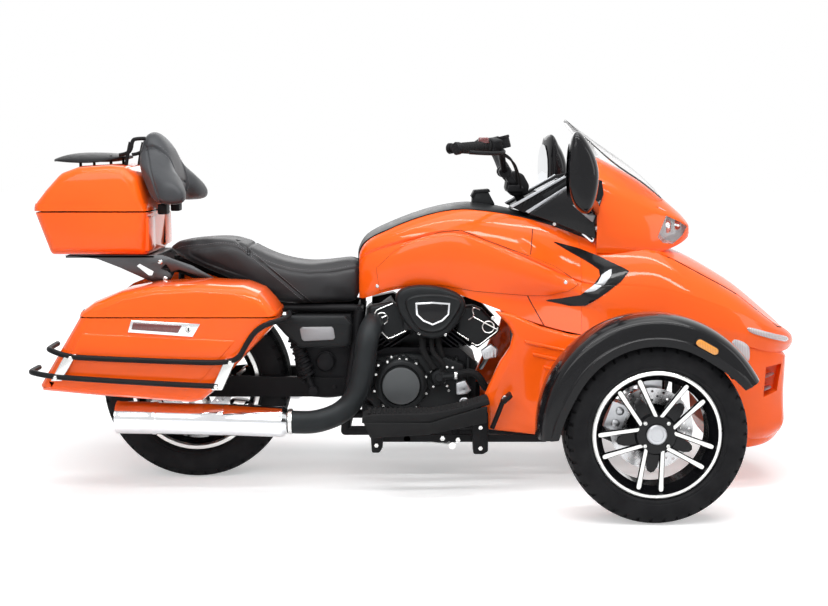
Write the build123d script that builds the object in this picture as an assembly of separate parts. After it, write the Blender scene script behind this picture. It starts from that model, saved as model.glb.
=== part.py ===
from build123d import *
import math
import os

# Three-wheeled touring motorcycle with two steered wheels in front.
# Millimetres. X runs forward, Y to the rider's left, Z up. The origin is on the ground, midway along.

# Driving dimensions
wheelbase = 1505
front_axle_x = 717
rear_axle_x = front_axle_x - wheelbase
front_track = 1214
front_tyre_r = 281
front_tyre_w = 165
rear_tyre_r = 325
rear_tyre_w = 190
front_rim_r = 199
rear_rim_r = 225
rim_wall = 10
kingpin_y = 480
kingpin_r = 7
steer_arm = 95
spindle_r = 20
disc_r = 129
disc_t = 5
spoke_pairs = 5
rear_spokes = 9
rail_y = 145
rail_z = 181
rail_r = 16
seat_rail_y = 110
seat_rail_r = 14
box_rail_z = 400
box_rear_x = 560
box_front_x = 880
swing_pivot_x = -250
swing_pivot_z = 330
column_x = 330
column_z = 1010
column_tilt = 25
column_r = 16
case_half_w = 230
case_wall = 5
case_seam_z = 941
pannier_in_y = 200
pannier_out_y = 430
pannier_wall = 5
pannier_seam_z = 611
body_wall = 8
fender_wall = 4
screen_t = 4
guard_r = 8.5
muffler_r = 48
grip_r = 17
plate_pitch = 140
plate_hole_r = 3.5
seam = 0.5
seat_gap = 0.3
run_gap = 0.4

os.makedirs("parts", exist_ok=True)


def box(x0, x1, y0, y1, z0, z1):
    return Pos((x0 + x1) / 2, (y0 + y1) / 2, (z0 + z1) / 2) * Box(x1 - x0, y1 - y0, z1 - z0)


def prism(profile, y0, y1):
    # profile points are (x, z)
    face = Face(Wire.make_polygon([(x, y0, z) for x, z in profile]))
    return Solid.extrude(face, Vector(0, y1 - y0, 0))


def loft(sections):
    return Solid.make_loft([Wire.make_polygon(points) for points in sections], ruled=True)


def body_loft(rows):
    # rows are (x, [(y, z), ...]) down one side of the body, from the top centre to the bottom centre
    sections = []
    for x, side in rows:
        right = [(x, y, z) for y, z in side]
        left = [(x, -y, z) for y, z in reversed(side) if y > 0]
        sections.append(right + left)
    return loft(sections)


def rod(start, end, r):
    start = Vector(*start)
    end = Vector(*end)
    return Solid.make_cylinder(r, (end - start).length, Plane(origin=start, z_dir=end - start))


def tube(points, r):
    shape = rod(points[0], points[1], r)
    for start, end in zip(points[1:], points[2:]):
        shape = shape + Pos(*start) * Sphere(r) + rod(start, end, r)
    return shape


def flip(shape):
    return shape.mirror(Plane.XZ)


def fuse(shapes):
    total = shapes[0]
    for shape in shapes[1:]:
        total = total + shape
    return total


def inset(profile, depth):
    # moves each side of a closed outline inward by depth
    count = len(profile)
    area = sum(profile[i - 1][0] * profile[i][1] - profile[i][0] * profile[i - 1][1] for i in range(count))
    turn = 1 if area > 0 else -1
    points = []
    for i in range(count):
        before, here, after = profile[i - 1], profile[i], profile[(i + 1) % count]
        normals = []
        for start, end in ((before, here), (here, after)):
            length = math.hypot(end[0] - start[0], end[1] - start[1])
            normals.append((-turn * (end[1] - start[1]) / length, turn * (end[0] - start[0]) / length))
        (ax, az), (bx, bz) = normals
        scale = depth / (1 + ax * bx + az * bz)
        points.append((here[0] + (ax + bx) * scale, here[1] + (az + bz) * scale))
    return points


def side_loft(profile, stations):
    # stations are (y, inset depth)
    return loft([[(x, y, z) for x, z in inset(profile, depth)] for y, depth in stations])


def save(node, *shapes):
    solids = []
    for shape in shapes:
        solids += shape.solids()
    export_step(Compound(solids), f"parts/{node}.step")


def largest(shape):
    return shape.solids().sort_by(SortBy.VOLUME)[-1]


def save_largest(node, shape):
    save(node, largest(shape))


# Wheels. Each is made about its own centre with the axle along Y and its outer face towards +Y.

def ring(r_out, r_in, y0, y1):
    return rod((0, y0, 0), (0, y1, 0), r_out) - rod((0, y0 - 1, 0), (0, y1 + 1, 0), r_in)


def spun(profile, start=0, sweep=360):
    # profile points are (radius, y); start and sweep are degrees from +X towards +Z
    face = Face(Wire.make_polygon([(r, y, 0) for r, y in profile]))
    shape = Solid.revolve(face, sweep, Axis((0, 0, 0), (0, -1, 0)))
    return shape.rotate(Axis.Y, -start)


def tyre(r, w, seat_r, half_rim):
    side = w / 2
    bead = half_rim - 5 - run_gap
    half = [(seat_r + run_gap, bead), (seat_r + 11, bead), (seat_r + 12, bead + 7),
            (seat_r + (r - seat_r) * 0.5, side), (r - 20, side - 3), (r - 6, side - 15), (r, side - 32)]
    return spun(half + [(radius, -y) for radius, y in reversed(half)])


def barrel(flange_r, half_rim):
    seat_r = flange_r - 10
    half = [(seat_r - rim_wall, half_rim), (flange_r, half_rim), (flange_r, half_rim - 5), (seat_r, half_rim - 5)]
    return spun(half + [(r, -y) for r, y in reversed(half)])


def polar(r, degrees, y):
    angle = math.radians(degrees)
    return (r * math.cos(angle), y, r * math.sin(angle))


front_half_rim = 72
rear_half_rim = 80
front_hub_r = 56
rear_hub_r = 50
bolt_ring_r = 50
rim_bolts = 4
spoke_gap = 15
spoke_splay = 7


def front_rim():
    shape = barrel(front_rim_r, front_half_rim) + rod((0, -48, 0), (0, 58, 0), front_hub_r)
    reach = front_rim_r - 10 - rim_wall + 3
    for pair in range(spoke_pairs):
        for side in (-1, 1):
            bar = box(30, reach, 44, 62, side * spoke_gap - 8, side * spoke_gap + 8)
            shape = shape + bar.rotate(Axis.Y, -90 - 360 / spoke_pairs * pair - side * spoke_splay)
    shape = shape - rod((0, -60, 0), (0, 52, 0), spindle_r + run_gap)
    shape = shape + rod((0, 57, 0), (0, 68, 0), 30)
    for k in range(rim_bolts):
        angle = 45 + 360 / rim_bolts * k
        shape = shape + rod(polar(bolt_ring_r, angle, 57), polar(bolt_ring_r, angle, 66), 9)
    return shape + ring(disc_r, front_hub_r - 1, -35, -35 + disc_t)


def rear_rim():
    shape = barrel(rear_rim_r, rear_half_rim) + rod((0, -60, 0), (0, 60, 0), rear_hub_r)
    reach = rear_rim_r - 10 - rim_wall + 3
    for k in range(rear_spokes):
        angle = 360 / rear_spokes * k
        stem = box(40, 130, -14, 14, -9, 9)
        arms = [box(0, reach - 118, -12, 12, -7, 7).rotate(Axis.Y, turn).translate((122, 0, 0))
                for turn in (-24, 24)]
        shape = shape + fuse([stem] + arms).rotate(Axis.Y, -angle) - ring(400, rear_rim_r - 10, -70, 70)
    shape = shape + ring(disc_r, rear_hub_r - 1, -72, -72 + disc_t) + rod((0, -72, 0), (0, -60, 0), rear_hub_r)
    return shape - rod((0, -90, 0), (0, 90, 0), spindle_r + run_gap)


# Knuckle: upright, spindle, ears on the kingpin, steering arm, brake caliper and fender stay
ball_low = 195
ball_high = 422
ear_t = 20
arm_drop = 45
arm_t = 16
pin_reach = 16
fender_in = 92
caliper_turn = 160


def knuckle():
    inner = kingpin_y - front_track / 2
    low = ball_low - front_tyre_r
    high = ball_high - front_tyre_r
    shape = box(-35, 35, -95, -56, low + seam, high + ear_t) + rod((0, -57, 0), (0, 50, 0), spindle_r)
    for z in (low, high):
        shape = shape + box(-20, 20, inner - 20, -90, z + seam, z + ear_t)
        shape = shape - rod((0, inner, z - 1), (0, inner, z + ear_t + 1), kingpin_r + run_gap)
    arm_z = -arm_drop
    arm = fuse([box(-steer_arm, -30, inner - 12, inner + 12, arm_z, arm_z + arm_t),
                box(-50, -30, inner - 12, -80, arm_z, arm_z + arm_t)])
    shape = shape + arm + rod((-steer_arm, inner, arm_z), (-steer_arm, inner, arm_z + arm_t), 14)
    caliper = box(92, 148, -62, -12, -42, 42) - box(60, disc_r + 6, -41, -24, -60, 60)
    bridge = box(25, 100, -70, -56, -16, 16)
    shape = shape + fuse([caliper, bridge]).rotate(Axis.Y, -caliper_turn)
    stay = box(-25, 25, -fender_in - 8, -fender_in - seat_gap, high, 315)
    return shape + stay


fender_start = 28
fender_sweep = 154
fender_dx = -8
fender_dz = 14


def fender():
    outline = [(284, 97), (330, 98), (350, 84), (358, 50), (360, 0), (356, -50), (346, -80), (330, -fender_in),
               (296, -fender_in)]
    inner = [(r - fender_wall, y - fender_wall if y > 60 else y + fender_wall if y < -60 else y)
             for r, y in outline[1:-1]]
    inner = [(284, 97 - fender_wall)] + inner + [(296, -fender_in + fender_wall)]
    shape = spun(outline + list(reversed(inner)), fender_start, fender_sweep)
    marker = box(-26, 26, -4, 5, 316, 332).translate((0, 98, 0)).rotate(Axis.Y, 25)
    return (shape + marker).translate((fender_dx, 0, fender_dz))


def at_front(shape):
    left = shape.translate((front_axle_x, front_track / 2, front_tyre_r))
    return left, flip(left)


for node, shape in (("front_rim", front_rim()), ("knuckle", knuckle()), ("front_fender", fender()),
                    ("front_tyre", tyre(front_tyre_r, front_tyre_w, front_rim_r - 10, front_half_rim))):
    left, right = at_front(shape)
    save(node + "_left", left)
    save(node + "_right", right)

axle = (rear_axle_x, 0, rear_tyre_r)
save("rear_rim", rear_rim().translate(axle))
save("rear_tyre", tyre(rear_tyre_r, rear_tyre_w, rear_rim_r - 10, rear_half_rim).translate(axle))

# Frame
cross_x = -212
cross_z = 600
seat_rail_z = 603.5
backbone_z = 692
backbone_h = 46
backbone_w = 56
plate_t = 18
tail_x = -870
tail_z = 755
rail_end_x = -262
cross_r = 12
stay_x = -560
stay_r = 11
step_y = 262
foot_y = 95
lean = math.radians(column_tilt)


def on_column(z, y=0):
    # the point of the steering axis at height z
    return (column_x + (column_z - z) * math.tan(lean), y, z)


tower_y = {1: (140, 194), -1: (-194, -140)}
engine_floor = 205
fender_r = rear_tyre_r + 26
fender_clear = rod((rear_axle_x, -200, rear_tyre_r), (rear_axle_x, 200, rear_tyre_r), fender_r + seat_gap)


def frame():
    half = backbone_w / 2
    parts = [box(cross_x + 14, box_rear_x, -half, half, backbone_z, backbone_z + backbone_h),
             box(cross_x - 1, cross_x - 1 + plate_t, -half, half, cross_z, backbone_z + backbone_h),
             rod((cross_x, -rail_y, cross_z), (cross_x, rail_y, cross_z), cross_r),
             rod((box_rear_x, -rail_y, rail_z), (box_rear_x, rail_y, rail_z), rail_r),
             rod((box_front_x, -rail_y, rail_z), (box_front_x, rail_y, rail_z), rail_r),
             rod((box_front_x, -rail_y, box_rail_z), (box_front_x, rail_y, box_rail_z), rail_r),
             rod((rail_end_x, -rail_y, rail_z), (rail_end_x, rail_y, rail_z), rail_r),
             rod((-120, -rail_y, rail_z), (-120, rail_y, rail_z), cross_r),
             rod((120, -rail_y, rail_z), (120, rail_y, rail_z), cross_r),
             rod(on_column(835), on_column(backbone_z + 20), column_r + 12)]
    for s in (-1, 1):
        y = s * rail_y
        sy = s * seat_rail_y
        parts += [tube([(cross_x, y, cross_z), (swing_pivot_x, y, swing_pivot_z), (rail_end_x, y, rail_z),
                        (box_front_x, y, rail_z), (box_front_x, y, box_rail_z), (box_rear_x, y, box_rail_z),
                        (box_rear_x, y, rail_z)], rail_r),
                  tube([(box_rear_x, y, box_rail_z), (box_rear_x - 8, s * 20, backbone_z + 8)], rail_r),
                  tube([(cross_x, sy, cross_z), (cross_x - 25, sy, seat_rail_z), (-540, sy, seat_rail_z),
                        (-640, sy, 668), (tail_x, sy, tail_z)], seat_rail_r),
                  tube([(stay_x, sy, cross_z - 4), (stay_x, s * (pannier_in_y - 18), 560),
                        (stay_x, s * (pannier_in_y - seat_gap), 560)], stay_r),
                  tube([(tail_x + 20, sy, tail_z - 8), (tail_x, s * 150, 700),
                        (tail_x - 20, s * (pannier_in_y - 18), 500),
                        (tail_x - 20, s * (pannier_in_y - seat_gap), 500)], stay_r),
                  rod((box_front_x - 30, y, box_rail_z), (box_front_x - 30, y, 532 - seat_gap), rail_r),
                  box(tail_x - 16 - seat_gap, tail_x + 6, sy - 12, sy + 12, tail_z - 12, tail_z + 14),
                  rod((-700, sy, 691), (-700, sy, 640), 9) - fender_clear,
                  box(front_axle_x - 30, front_axle_x - 19, *tower_y[s], box_rail_z, 470),
                  box(front_axle_x + 19, front_axle_x + 30, *tower_y[s], box_rail_z, 470),
                  box(-132, -108, s * foot_y - 15, s * foot_y + 15, rail_z, engine_floor - seat_gap),
                  box(108, 132, s * foot_y - 15, s * foot_y + 15, rail_z, engine_floor - seat_gap),
                  rod((-120, y, rail_z), (-120, s * step_y, rail_z), cross_r),
                  rod((120, y, rail_z), (120, s * step_y, rail_z), cross_r),
                  box(-135, 420, s * step_y - 10, s * step_y + 10, rail_z - 12, rail_z + 12),
                  rod((400, y, rail_z), (400, s * 255, rail_z), cross_r)]
    shape = fuse(parts)
    return shape - rod(on_column(900), on_column(backbone_z + backbone_h + 8), column_r + run_gap)


frame_solid = frame()
save("frame", frame_solid)

# Swingarm with the rear axle
arm_in = rear_tyre_w / 2 + 8
arm_out = arm_in + 22
axle_end = rear_axle_x - 34
arm_profile = [(-235, 362), (-235, 300), (-330, 296), (rear_axle_x + 28, rear_tyre_r - 29),
               (axle_end + 7, rear_tyre_r - 25), (axle_end, rear_tyre_r), (axle_end + 10, rear_tyre_r + 25),
               (-644, rear_tyre_r + 43)]


def swingarm():
    shape = rod((swing_pivot_x, -rail_y + rail_r + seat_gap, swing_pivot_z),
                (swing_pivot_x, rail_y - rail_r - seat_gap, swing_pivot_z), 20)
    for s in (-1, 1):
        shape = shape + prism(arm_profile, s * arm_in, s * arm_out)
        shape = shape + rod(shock_eye(s * arm_out), shock_eye(s * (arm_out + 8.7)), 12)
    end = arm_out + 14
    shape = shape + rod((rear_axle_x, -end, rear_tyre_r), (rear_axle_x, end, rear_tyre_r), spindle_r)
    shape = shape + box(-330, -300, -arm_in - 2, arm_in + 2, 305, 355)
    for s in (-1, 1):
        shape = shape - rod(shock_eye(s * (shock_y - shock_eye_half)), shock_eye(s * 300), shock_eye_r + seat_gap)
    return shape


shock_y = 150
shock_low = (-372, 322)
shock_high = (-452, 560)
shock_eye_r = 15
shock_eye_half = 16
shock_turns = 7


def shock_eye(y):
    return (shock_low[0], y, shock_low[1])


def rear_shock(y):
    high = (shock_high[0], y, shock_high[1])
    a, b = Vector(*shock_eye(y)), Vector(*high)
    spots = [a + (b - a) * t for t in (0.02, 0.25, 0.85, 1)]
    body = rod(spots[0], spots[2], 9) + rod(spots[1], spots[2], 19)
    for k in range(shock_turns):
        mid = a + (b - a) * (0.28 + 0.08 * k)
        body = body + rod(mid, mid + (b - a).normalized() * 8, 22)
    body = body + rod(spots[2], spots[3], 11)
    eye = rod(shock_eye(y - shock_eye_half), shock_eye(y + shock_eye_half), shock_eye_r)
    top = rod((high[0], y - 14, high[2] + 4), (high[0], y + 14, high[2] + 4), 13)
    post = rod((high[0], y, high[2]), (high[0], y - math.copysign(36, y), high[2] + 38), 8)
    return body + eye + top + post


save("swingarm", swingarm())
save("rear_shocks", *[rear_shock(s * shock_y) - frame_solid for s in (-1, 1)])

# Rear fender and tail lamp


def rear_fender():
    outline = [(fender_r - 40, 122), (fender_r, 122), (fender_r, -122), (fender_r - 40, -122),
               (fender_r - 40, -118), (fender_r - fender_wall, -118), (fender_r - fender_wall, 118),
               (fender_r - 40, 118)]
    return spun(outline, 52, 108).translate(axle)


save("rear_fender", rear_fender())
lamp_x = rear_axle_x - fender_r * math.cos(math.radians(28)) - 3
tail = box(lamp_x - 34, lamp_x - 4, -95, 95, 478, 520) + box(lamp_x - 60, lamp_x - 56, -95, 95, 340, 470)
tail = tail + box(lamp_x - 60, lamp_x - 24, -20, 20, 462, 486) - rear_fender()
for y in (-plate_pitch / 2, plate_pitch / 2):
    tail = tail - rod((lamp_x - 70, y, 440), (lamp_x - 50, y, 440), plate_hole_r)
save_largest("tail_lamp", tail)

# Engine
case_y = 140
case_top = 470
engine_profile = [(-205, engine_floor), (150, engine_floor), (188, 260), (188, 420), (130, case_top),
                  (-120, case_top), (-190, 440), (-205, 330)]
save("engine_case", prism(engine_profile, -case_y, case_y))
bank_turn = {"rear": -33, "front": 37}
crank = (0, 330)
barrel_base = 160


def cylinder(turn):
    shape = box(-62, 62, -78, 78, barrel_base, 265)
    for k in range(6):
        shape = shape + box(-72, 72, -88, 88, barrel_base + 6 + 16 * k, barrel_base + 14 + 16 * k)
    shape = shape + box(-70, 70, -92, 92, 262, 306)
    shape = shape.rotate(Axis.Y, turn).translate((crank[0], 0, crank[1]))
    return shape


cylinders = [cylinder(turn) for turn in bank_turn.values()]
head_top = 634
space = [box(-230, 230, -200, 200, 150, case_top + seat_gap),
         box(-400, cross_x + plate_t + 1, -200, 200, 400, 800),
         box(-400, 400, -200, 200, head_top, 900)]
bank = [shape - fuse(space) for shape in cylinders]
bank = [bank[0] - box(0, 400, -200, 200, 400, 800), bank[1] - box(-400, 1, -200, 200, 400, 800)]
save("cylinders", *[largest(shape) for shape in bank])

clutch = (-66, 359)
cover_r = 104
side_plate = [(-60, 262), (160, 245), (175, 300), (150, 420), (60, 455), (-60, 455)]


def covers():
    shapes = []
    for s in (-1, 1):
        a = s * (case_y + seat_gap)
        shape = rod((clutch[0], a, clutch[1]), (clutch[0], a + s * 58, clutch[1]), cover_r)
        shape = shape + rod((clutch[0], a, clutch[1]), (clutch[0], a + s * 86, clutch[1]), 68)
        shape = shape + rod((85, a, 395), (85, a + s * 50, 395), 40)
        shape = shape + rod((128, a, 330), (128, a + s * 40, 330), 34)
        shape = shape + prism(side_plate, a, a + s * 30)
        for k in range(12):
            x, _, z = polar(cover_r - 8, 30 * k, 0)
            spot = (clutch[0] + x, clutch[1] + z)
            shape = shape + rod((spot[0], a + s * 57, spot[1]), (spot[0], a + s * 64, spot[1]), 6)
        shapes.append(shape)
    return shapes


save("engine_covers", *covers())

cleaner = [(-128, 676), (-88, 690), (-5, 699), (62, 692), (135, 655), (145, 618), (112, 565), (72, 521), (-5, 514),
           (-72, 548), (-112, 632)]
cleaner_out = 262
cleaner_solid = side_loft(cleaner, [(-cleaner_out, 34), (-cleaner_out + 14, 12), (-cleaner_out + 32, 0),
                                    (-216, 0)])
cleaner_solid = cleaner_solid + box(-30, 40, -220, 50, 572, 612) + box(-110, 130, -50, 50, 572, 604)
cleaner_solid = cleaner_solid - bank[0] - bank[1] - box(-300, 300, -60, 200, 640, 800)
save_largest("air_cleaner", cleaner_solid)

# Exhaust
header_y = -255
muffler_y = 330
muffler_front = (-452, 252)
muffler_rear = (-1026, 267)


def header(s):
    port = (-165, s * 70, 548)
    turn = [port, (-165, s * 200, 556), (-178, s * abs(header_y), 520), (-208, s * abs(header_y), 360),
            (-262, s * 270, 285), (-340, s * 310, 250), (muffler_front[0] + 2, s * muffler_y, muffler_front[1])]
    radii = [26, 28, 30, 34, 38, 39]
    shape = rod(turn[0], turn[1], radii[0])
    for start, end, r in zip(turn[1:], turn[2:], radii[1:]):
        shape = shape + Pos(*start) * Sphere(r) + rod(start, end, r)
    return shape


def muffler(s):
    a = Vector(muffler_front[0], s * muffler_y, muffler_front[1])
    b = Vector(muffler_rear[0], s * muffler_y, muffler_rear[1])
    step = (b - a).normalized()
    shape = rod(a, b, muffler_r) + rod(a + step * -14, a + step * 30, muffler_r - 4)
    shape = shape + rod(b - step * 150, b, muffler_r + 3)
    return shape - rod(b - step * 120, b + step * 5, muffler_r - 6)


mufflers = [muffler(s) for s in (-1, 1)]
save("mufflers", *mufflers)
headers = [header(s) - bank[0] - muffler(s) - rod((rail_end_x, s * 100, rail_z), (rail_end_x, s * 200, rail_z), 20)
           for s in (-1, 1)]
save("exhaust_pipes", *[largest(shape) for shape in headers])

save("radiator", box(330, 375, -190, 190, 250, 560) + box(345, 360, -190, 190, rail_z + rail_r + seat_gap, 250))

# Front suspension: wishbones with their ball studs, and coil-over shocks
wish = [("low", rail_z, ball_low - 14, 600, 830), ("high", box_rail_z, ball_high - 14, 640, 800)]


def wishbones():
    shapes = []
    for s in (-1, 1):
        for name, z_in, z_out, x_rear, x_front in wish:
            end = (front_axle_x, s * kingpin_y, z_out)
            shape = rod((front_axle_x, s * kingpin_y, z_out - 14), (front_axle_x, s * kingpin_y, z_out + 14), 20)
            pin_top = (front_axle_x, s * kingpin_y, z_out + 14 + pin_reach)
            shape = shape + rod(end, pin_top, kingpin_r)
            rail_side = s * (rail_y + rail_r)
            for x in (x_rear, x_front):
                start = (x, rail_side + s * seat_gap, z_in)
                shape = shape + rod(start, end, 11) + rod(start, (x, rail_side + s * 22, z_in), 15)
            shapes.append(shape)
    return shapes


wishbone_solids = wishbones()


def coilover(s):
    low = Vector(front_axle_x, s * 392, rail_z + 6)
    high = Vector(front_axle_x, s * 178, 455)
    reach = high - low
    shape = rod(low, high, 10) + rod(low + reach * 0.2, low + reach * 0.85, 24)
    for k in range(7):
        mid = low + reach * (0.22 + 0.085 * k)
        shape = shape + rod(mid, mid + reach.normalized() * 10, 30)
    reach_x = 19 - seat_gap
    shape = shape + rod((front_axle_x - reach_x, high.Y, high.Z), (front_axle_x + reach_x, high.Y, high.Z), 15)
    return shape + rod((front_axle_x - 34, low.Y, low.Z), (front_axle_x + 34, low.Y, low.Z), 8)


coils = [coilover(s) for s in (-1, 1)]
save("wishbones", *[shape - coils[0] - coils[1] - frame_solid for shape in wishbone_solids])
save("coilovers", *[shape - frame_solid for shape in coils])

# Steering rack: housing on the frame, tie rods under the steering arms
arm_low = front_tyre_r - arm_drop
rod_z = arm_low - seam - 12
rack_x = front_axle_x - steer_arm
rack_half = rail_y - rail_r - seat_gap
save("rack_housing", box(rack_x - 24, rack_x + 24, -rack_half, rack_half, rod_z - 24, rod_z + 24)
     - rod((rack_x, -300, rod_z), (rack_x, 300, rod_z), 9 + run_gap)
     + box(rack_x - 20, rack_x + 20, -rack_half, rack_half, rail_z - 10, rod_z - 24))
save("tie_rods", rod((rack_x, -kingpin_y, rod_z), (rack_x, kingpin_y, rod_z), 9)
     + rod((rack_x, -kingpin_y, rod_z - 12), (rack_x, -kingpin_y, rod_z + 12), 12)
     + rod((rack_x, kingpin_y, rod_z - 12), (rack_x, kingpin_y, rod_z + 12), 12))

# Tank and its console. Rows are x, top z, seam y, seam z, crease y, crease z, low y, low z.
split_x = 534
tank_rows = [(-210, 780, 92, 772, 118, 742, 112, 642),
             (-183, 836, 105, 824, 138, 800, 132, 636),
             (-120, 884, 125, 870, 165, 825, 158, 667),
             (-5, 930, 138, 917, 192, 860, 184, 690),
             (113, 957, 145, 944, 206, 886, 200, 677),
             (200, 960, 145, 940, 212, 856, 208, 662),
             (366, 932, 140, 914, 214, 785, 210, 636),
             (split_x, 872, 138, 850, 226, 690, 222, 652)]
tank_body = body_loft([(x, [(0, top), (seam_y * 0.5, top - 2), (seam_y, seam_z), (crease_y, crease_z),
                            (low_y, low_z), (0, low_z)])
                       for x, top, seam_y, seam_z, crease_y, crease_z, low_y, low_z in tank_rows])
console_top = [(-214, 760), (-183, 836), (-120, 884), (-5, 930), (113, 957), (200, 960), (366, 932),
               (split_x + 1, 872)]
console_w = 72
console_t = 10


def console_prism(depth, grow):
    line = [(x, z - depth) for x, z in console_top]
    return prism(line + [(600, 1100), (-260, 1100)], -console_w - grow, console_w + grow)


cleaner_gap = side_loft(cleaner, [(-400, -6), (-180, -6)])
column_hole = rod(on_column(1100), on_column(backbone_z), column_r + 20)
tunnel = box(-260, 600, -backbone_w / 2 - 5, backbone_w / 2 + 5, 600, backbone_z + backbone_h + seat_gap)
tank = tank_body - console_prism(console_t + seam, seam) - tunnel - column_hole - cleaner_gap
save_largest("tank_shell", tank)
raised = tank_body.translate((0, 0, 6))
console = (raised & console_prism(console_t, 0)) - column_hole
save_largest("tank_console", console)

# Body side panels under the tank line, down to the lower panels.
# Rows are x, top z, bottom z, inner y, outer y at the top, outer y at the bottom.
side_rows = [(130, 672, 668, 188, 206, 210),
             (261, 645, 620, 190, 214, 232),
             (394, 632, 570, 195, 222, 258),
             (494, 642, 543, 200, 232, 272),
             (split_x, 650, 536, 202, 236, 276)]
side_solid = loft([[(x, inner, top), (x, out_top, top), (x, out_low, low), (x, inner, low)]
                   for x, top, low, inner, out_top, out_low in side_rows])
side_solid = largest(side_solid - tank_body.translate((0, 0, -seam)) - tank_body)
save("body_sides", side_solid, flip(side_solid))

# Front body. Rows are x and one side's (y, z) from the top centre down to the bottom centre.
arch_z = 520
front_rows = [(split_x + seat_gap, [(0, 866), (138, 848), (232, 700), (270, 610), (276, arch_z), (0, arch_z)]),
              (640, [(0, 838), (175, 826), (262, 720), (288, 610), (290, arch_z), (0, arch_z)]),
              (770, [(0, 836), (205, 815), (278, 690), (296, 600), (296, arch_z), (0, arch_z)]),
              (928, [(0, 782), (205, 741), (282, 650), (298, 580), (296, arch_z), (0, arch_z)]),
              (1063, [(0, 704), (200, 668), (277, 604), (290, 550), (286, 500), (0, 500)]),
              (1180, [(0, 610), (170, 576), (238, 546), (252, 514), (244, 468), (0, 468)]),
              (1240, [(0, 557), (124, 544), (182, 528), (192, 502), (178, 464), (0, 464)]),
              (1288, [(0, 510), (62, 506), (98, 500), (104, 491), (88, 480), (0, 480)])]
# The bumper hangs under the beak and draws in towards its mouth.
chin_rows = [(1006, [(0, 556), (235, 556), (283, 505), (288, 420), (286, 320), (270, 215), (210, 160), (0, 158)]),
             (1090, [(0, 530), (225, 525), (274, 490), (280, 410), (276, 310), (262, 205), (205, 158), (0, 152)]),
             (1150, [(0, 506), (200, 500), (248, 478), (252, 400), (240, 300), (240, 215), (192, 166), (0, 154)]),
             (1190, [(0, 488), (176, 484), (216, 464), (208, 380), (196, 300), (208, 236), (172, 182), (0, 166)]),
             (1216, [(0, 470), (140, 468), (180, 450), (160, 380), (150, 310), (182, 252), (150, 202), (0, 184)])]
pocket_profile = [(1128, 470), (1240, 505), (1240, 262), (1118, 232)]
pocket_y = 190
fin_lines = [((1142, 446), (1186, 462)), ((1136, 398), (1178, 412))]
fin_t = 6
mouth_z = (270, 432)
# The lower lip: its front edge's (y, x) on one side, and its section's (forward, z).
lip_edge = [(0, 1266), (60, 1262), (120, 1243), (170, 1208), (205, 1160), (226, 1108)]
lip_section = [(0, 236), (-4, 246), (-20, 250), (-52, 222), (-74, 178), (-60, 166), (-24, 188)]
hood_rear_x = 775
hood_front_x = 1226
hood_swing = 2.5
hood_line = [(hood_rear_x, 800), (928, 728), (1063, 655), (1190, 566), (1206, 553), (1300, 547)]
apron_x = 905
apron_y = 200


def above_hood_line(lift, x0, x1, end_drop=0):
    line = [(x, z + lift) for x, z in hood_line]
    line = [(x0, hood_line[0][1] + lift)] + [point for point in line if x0 < point[0] < x1]
    end_z = hood_line[-1][1] + lift - end_drop
    return prism(line + [(x1, end_z), (x1, 1000), (x0, 1000)], -400, 400)


def bumper():
    shape = body_loft(chin_rows)
    for s in (-1, 1):
        shape = shape - side_loft(pocket_profile, [(s * pocket_y, 14), (s * 330, -6)])
        for (x0, z0), (x1, z1) in fin_lines:
            fin = [(x0, z0 - fin_t / 2), (x1, z1 - fin_t / 2), (x1, z1 + fin_t / 2), (x0, z0 + fin_t / 2)]
            shape = shape + prism(fin, s * (pocket_y - 4), s * (pocket_y + 26))
    low, high = mouth_z
    shape = shape - loft([[(x, -y, low), (x, y, low), (x, y, high), (x, -y, high)]
                          for x, y in ((1176, 85), (1300, 104))])
    edge = [(-y, x) for y, x in reversed(lip_edge[1:])] + lip_edge
    return shape + loft([[(x + forward, y, z) for forward, z in lip_section] for y, x in edge])


front_outer = body_loft(front_rows)
hood_zone = above_hood_line(0, hood_rear_x, hood_front_x) - box(700, apron_x, -apron_y, apron_y, 400, 1000)
hood_body = front_outer & hood_zone
save_largest("hood", hood_body)
hood_cut = above_hood_line(-seam, hood_rear_x - 1, hood_front_x + 1, hood_swing) \
    - box(700, apron_x - 1, -apron_y + 1, apron_y - 1, 400, 1000)
trunk = loft([[(x, y, low), (x, -y, low), (x, -y, 1000), (x, y, 1000)]
              for x, y, low in ((914, 180, 545), (1060, 180, 545), (1165, 150, 545))])
rear_room = box(500, 830, -190, 190, 400, 792)
front_body = front_outer + bumper() - hood_cut - trunk - rear_room
front_body = front_body - box(480, 700, -60, 60, 700, 830)
save_largest("front_body", front_body - frame_solid - tank_body)

# Cowl, windshield, headlamps and dash. Rows as for the front body.
cowl_floor = 800
cowl_rows = [(590, [(0, 1128), (95, 1110), (168, 1046), (206, 940), (212, cowl_floor), (0, cowl_floor)]),
             (700, [(0, 1066), (95, 1052), (170, 1000), (208, 900), (212, cowl_floor), (0, cowl_floor)]),
             (800, [(0, 1004), (88, 992), (160, 955), (186, 880), (188, cowl_floor), (0, cowl_floor)]),
             (868, [(0, 950), (72, 940), (138, 922), (150, 880), (146, cowl_floor), (0, cowl_floor)]),
             (900, [(0, 905), (60, 902), (104, 894), (110, 870), (100, 850), (0, 850)])]
cowl_outer = body_loft(cowl_rows)
cowl_inner = body_loft([(x - (1 if k == 0 else 0), [(max(y - body_wall, 0), z - body_wall if z > 830 else z - 30)
                                                     for y, z in side])
                        for k, (x, side) in enumerate(cowl_rows[:-1])])


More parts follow.
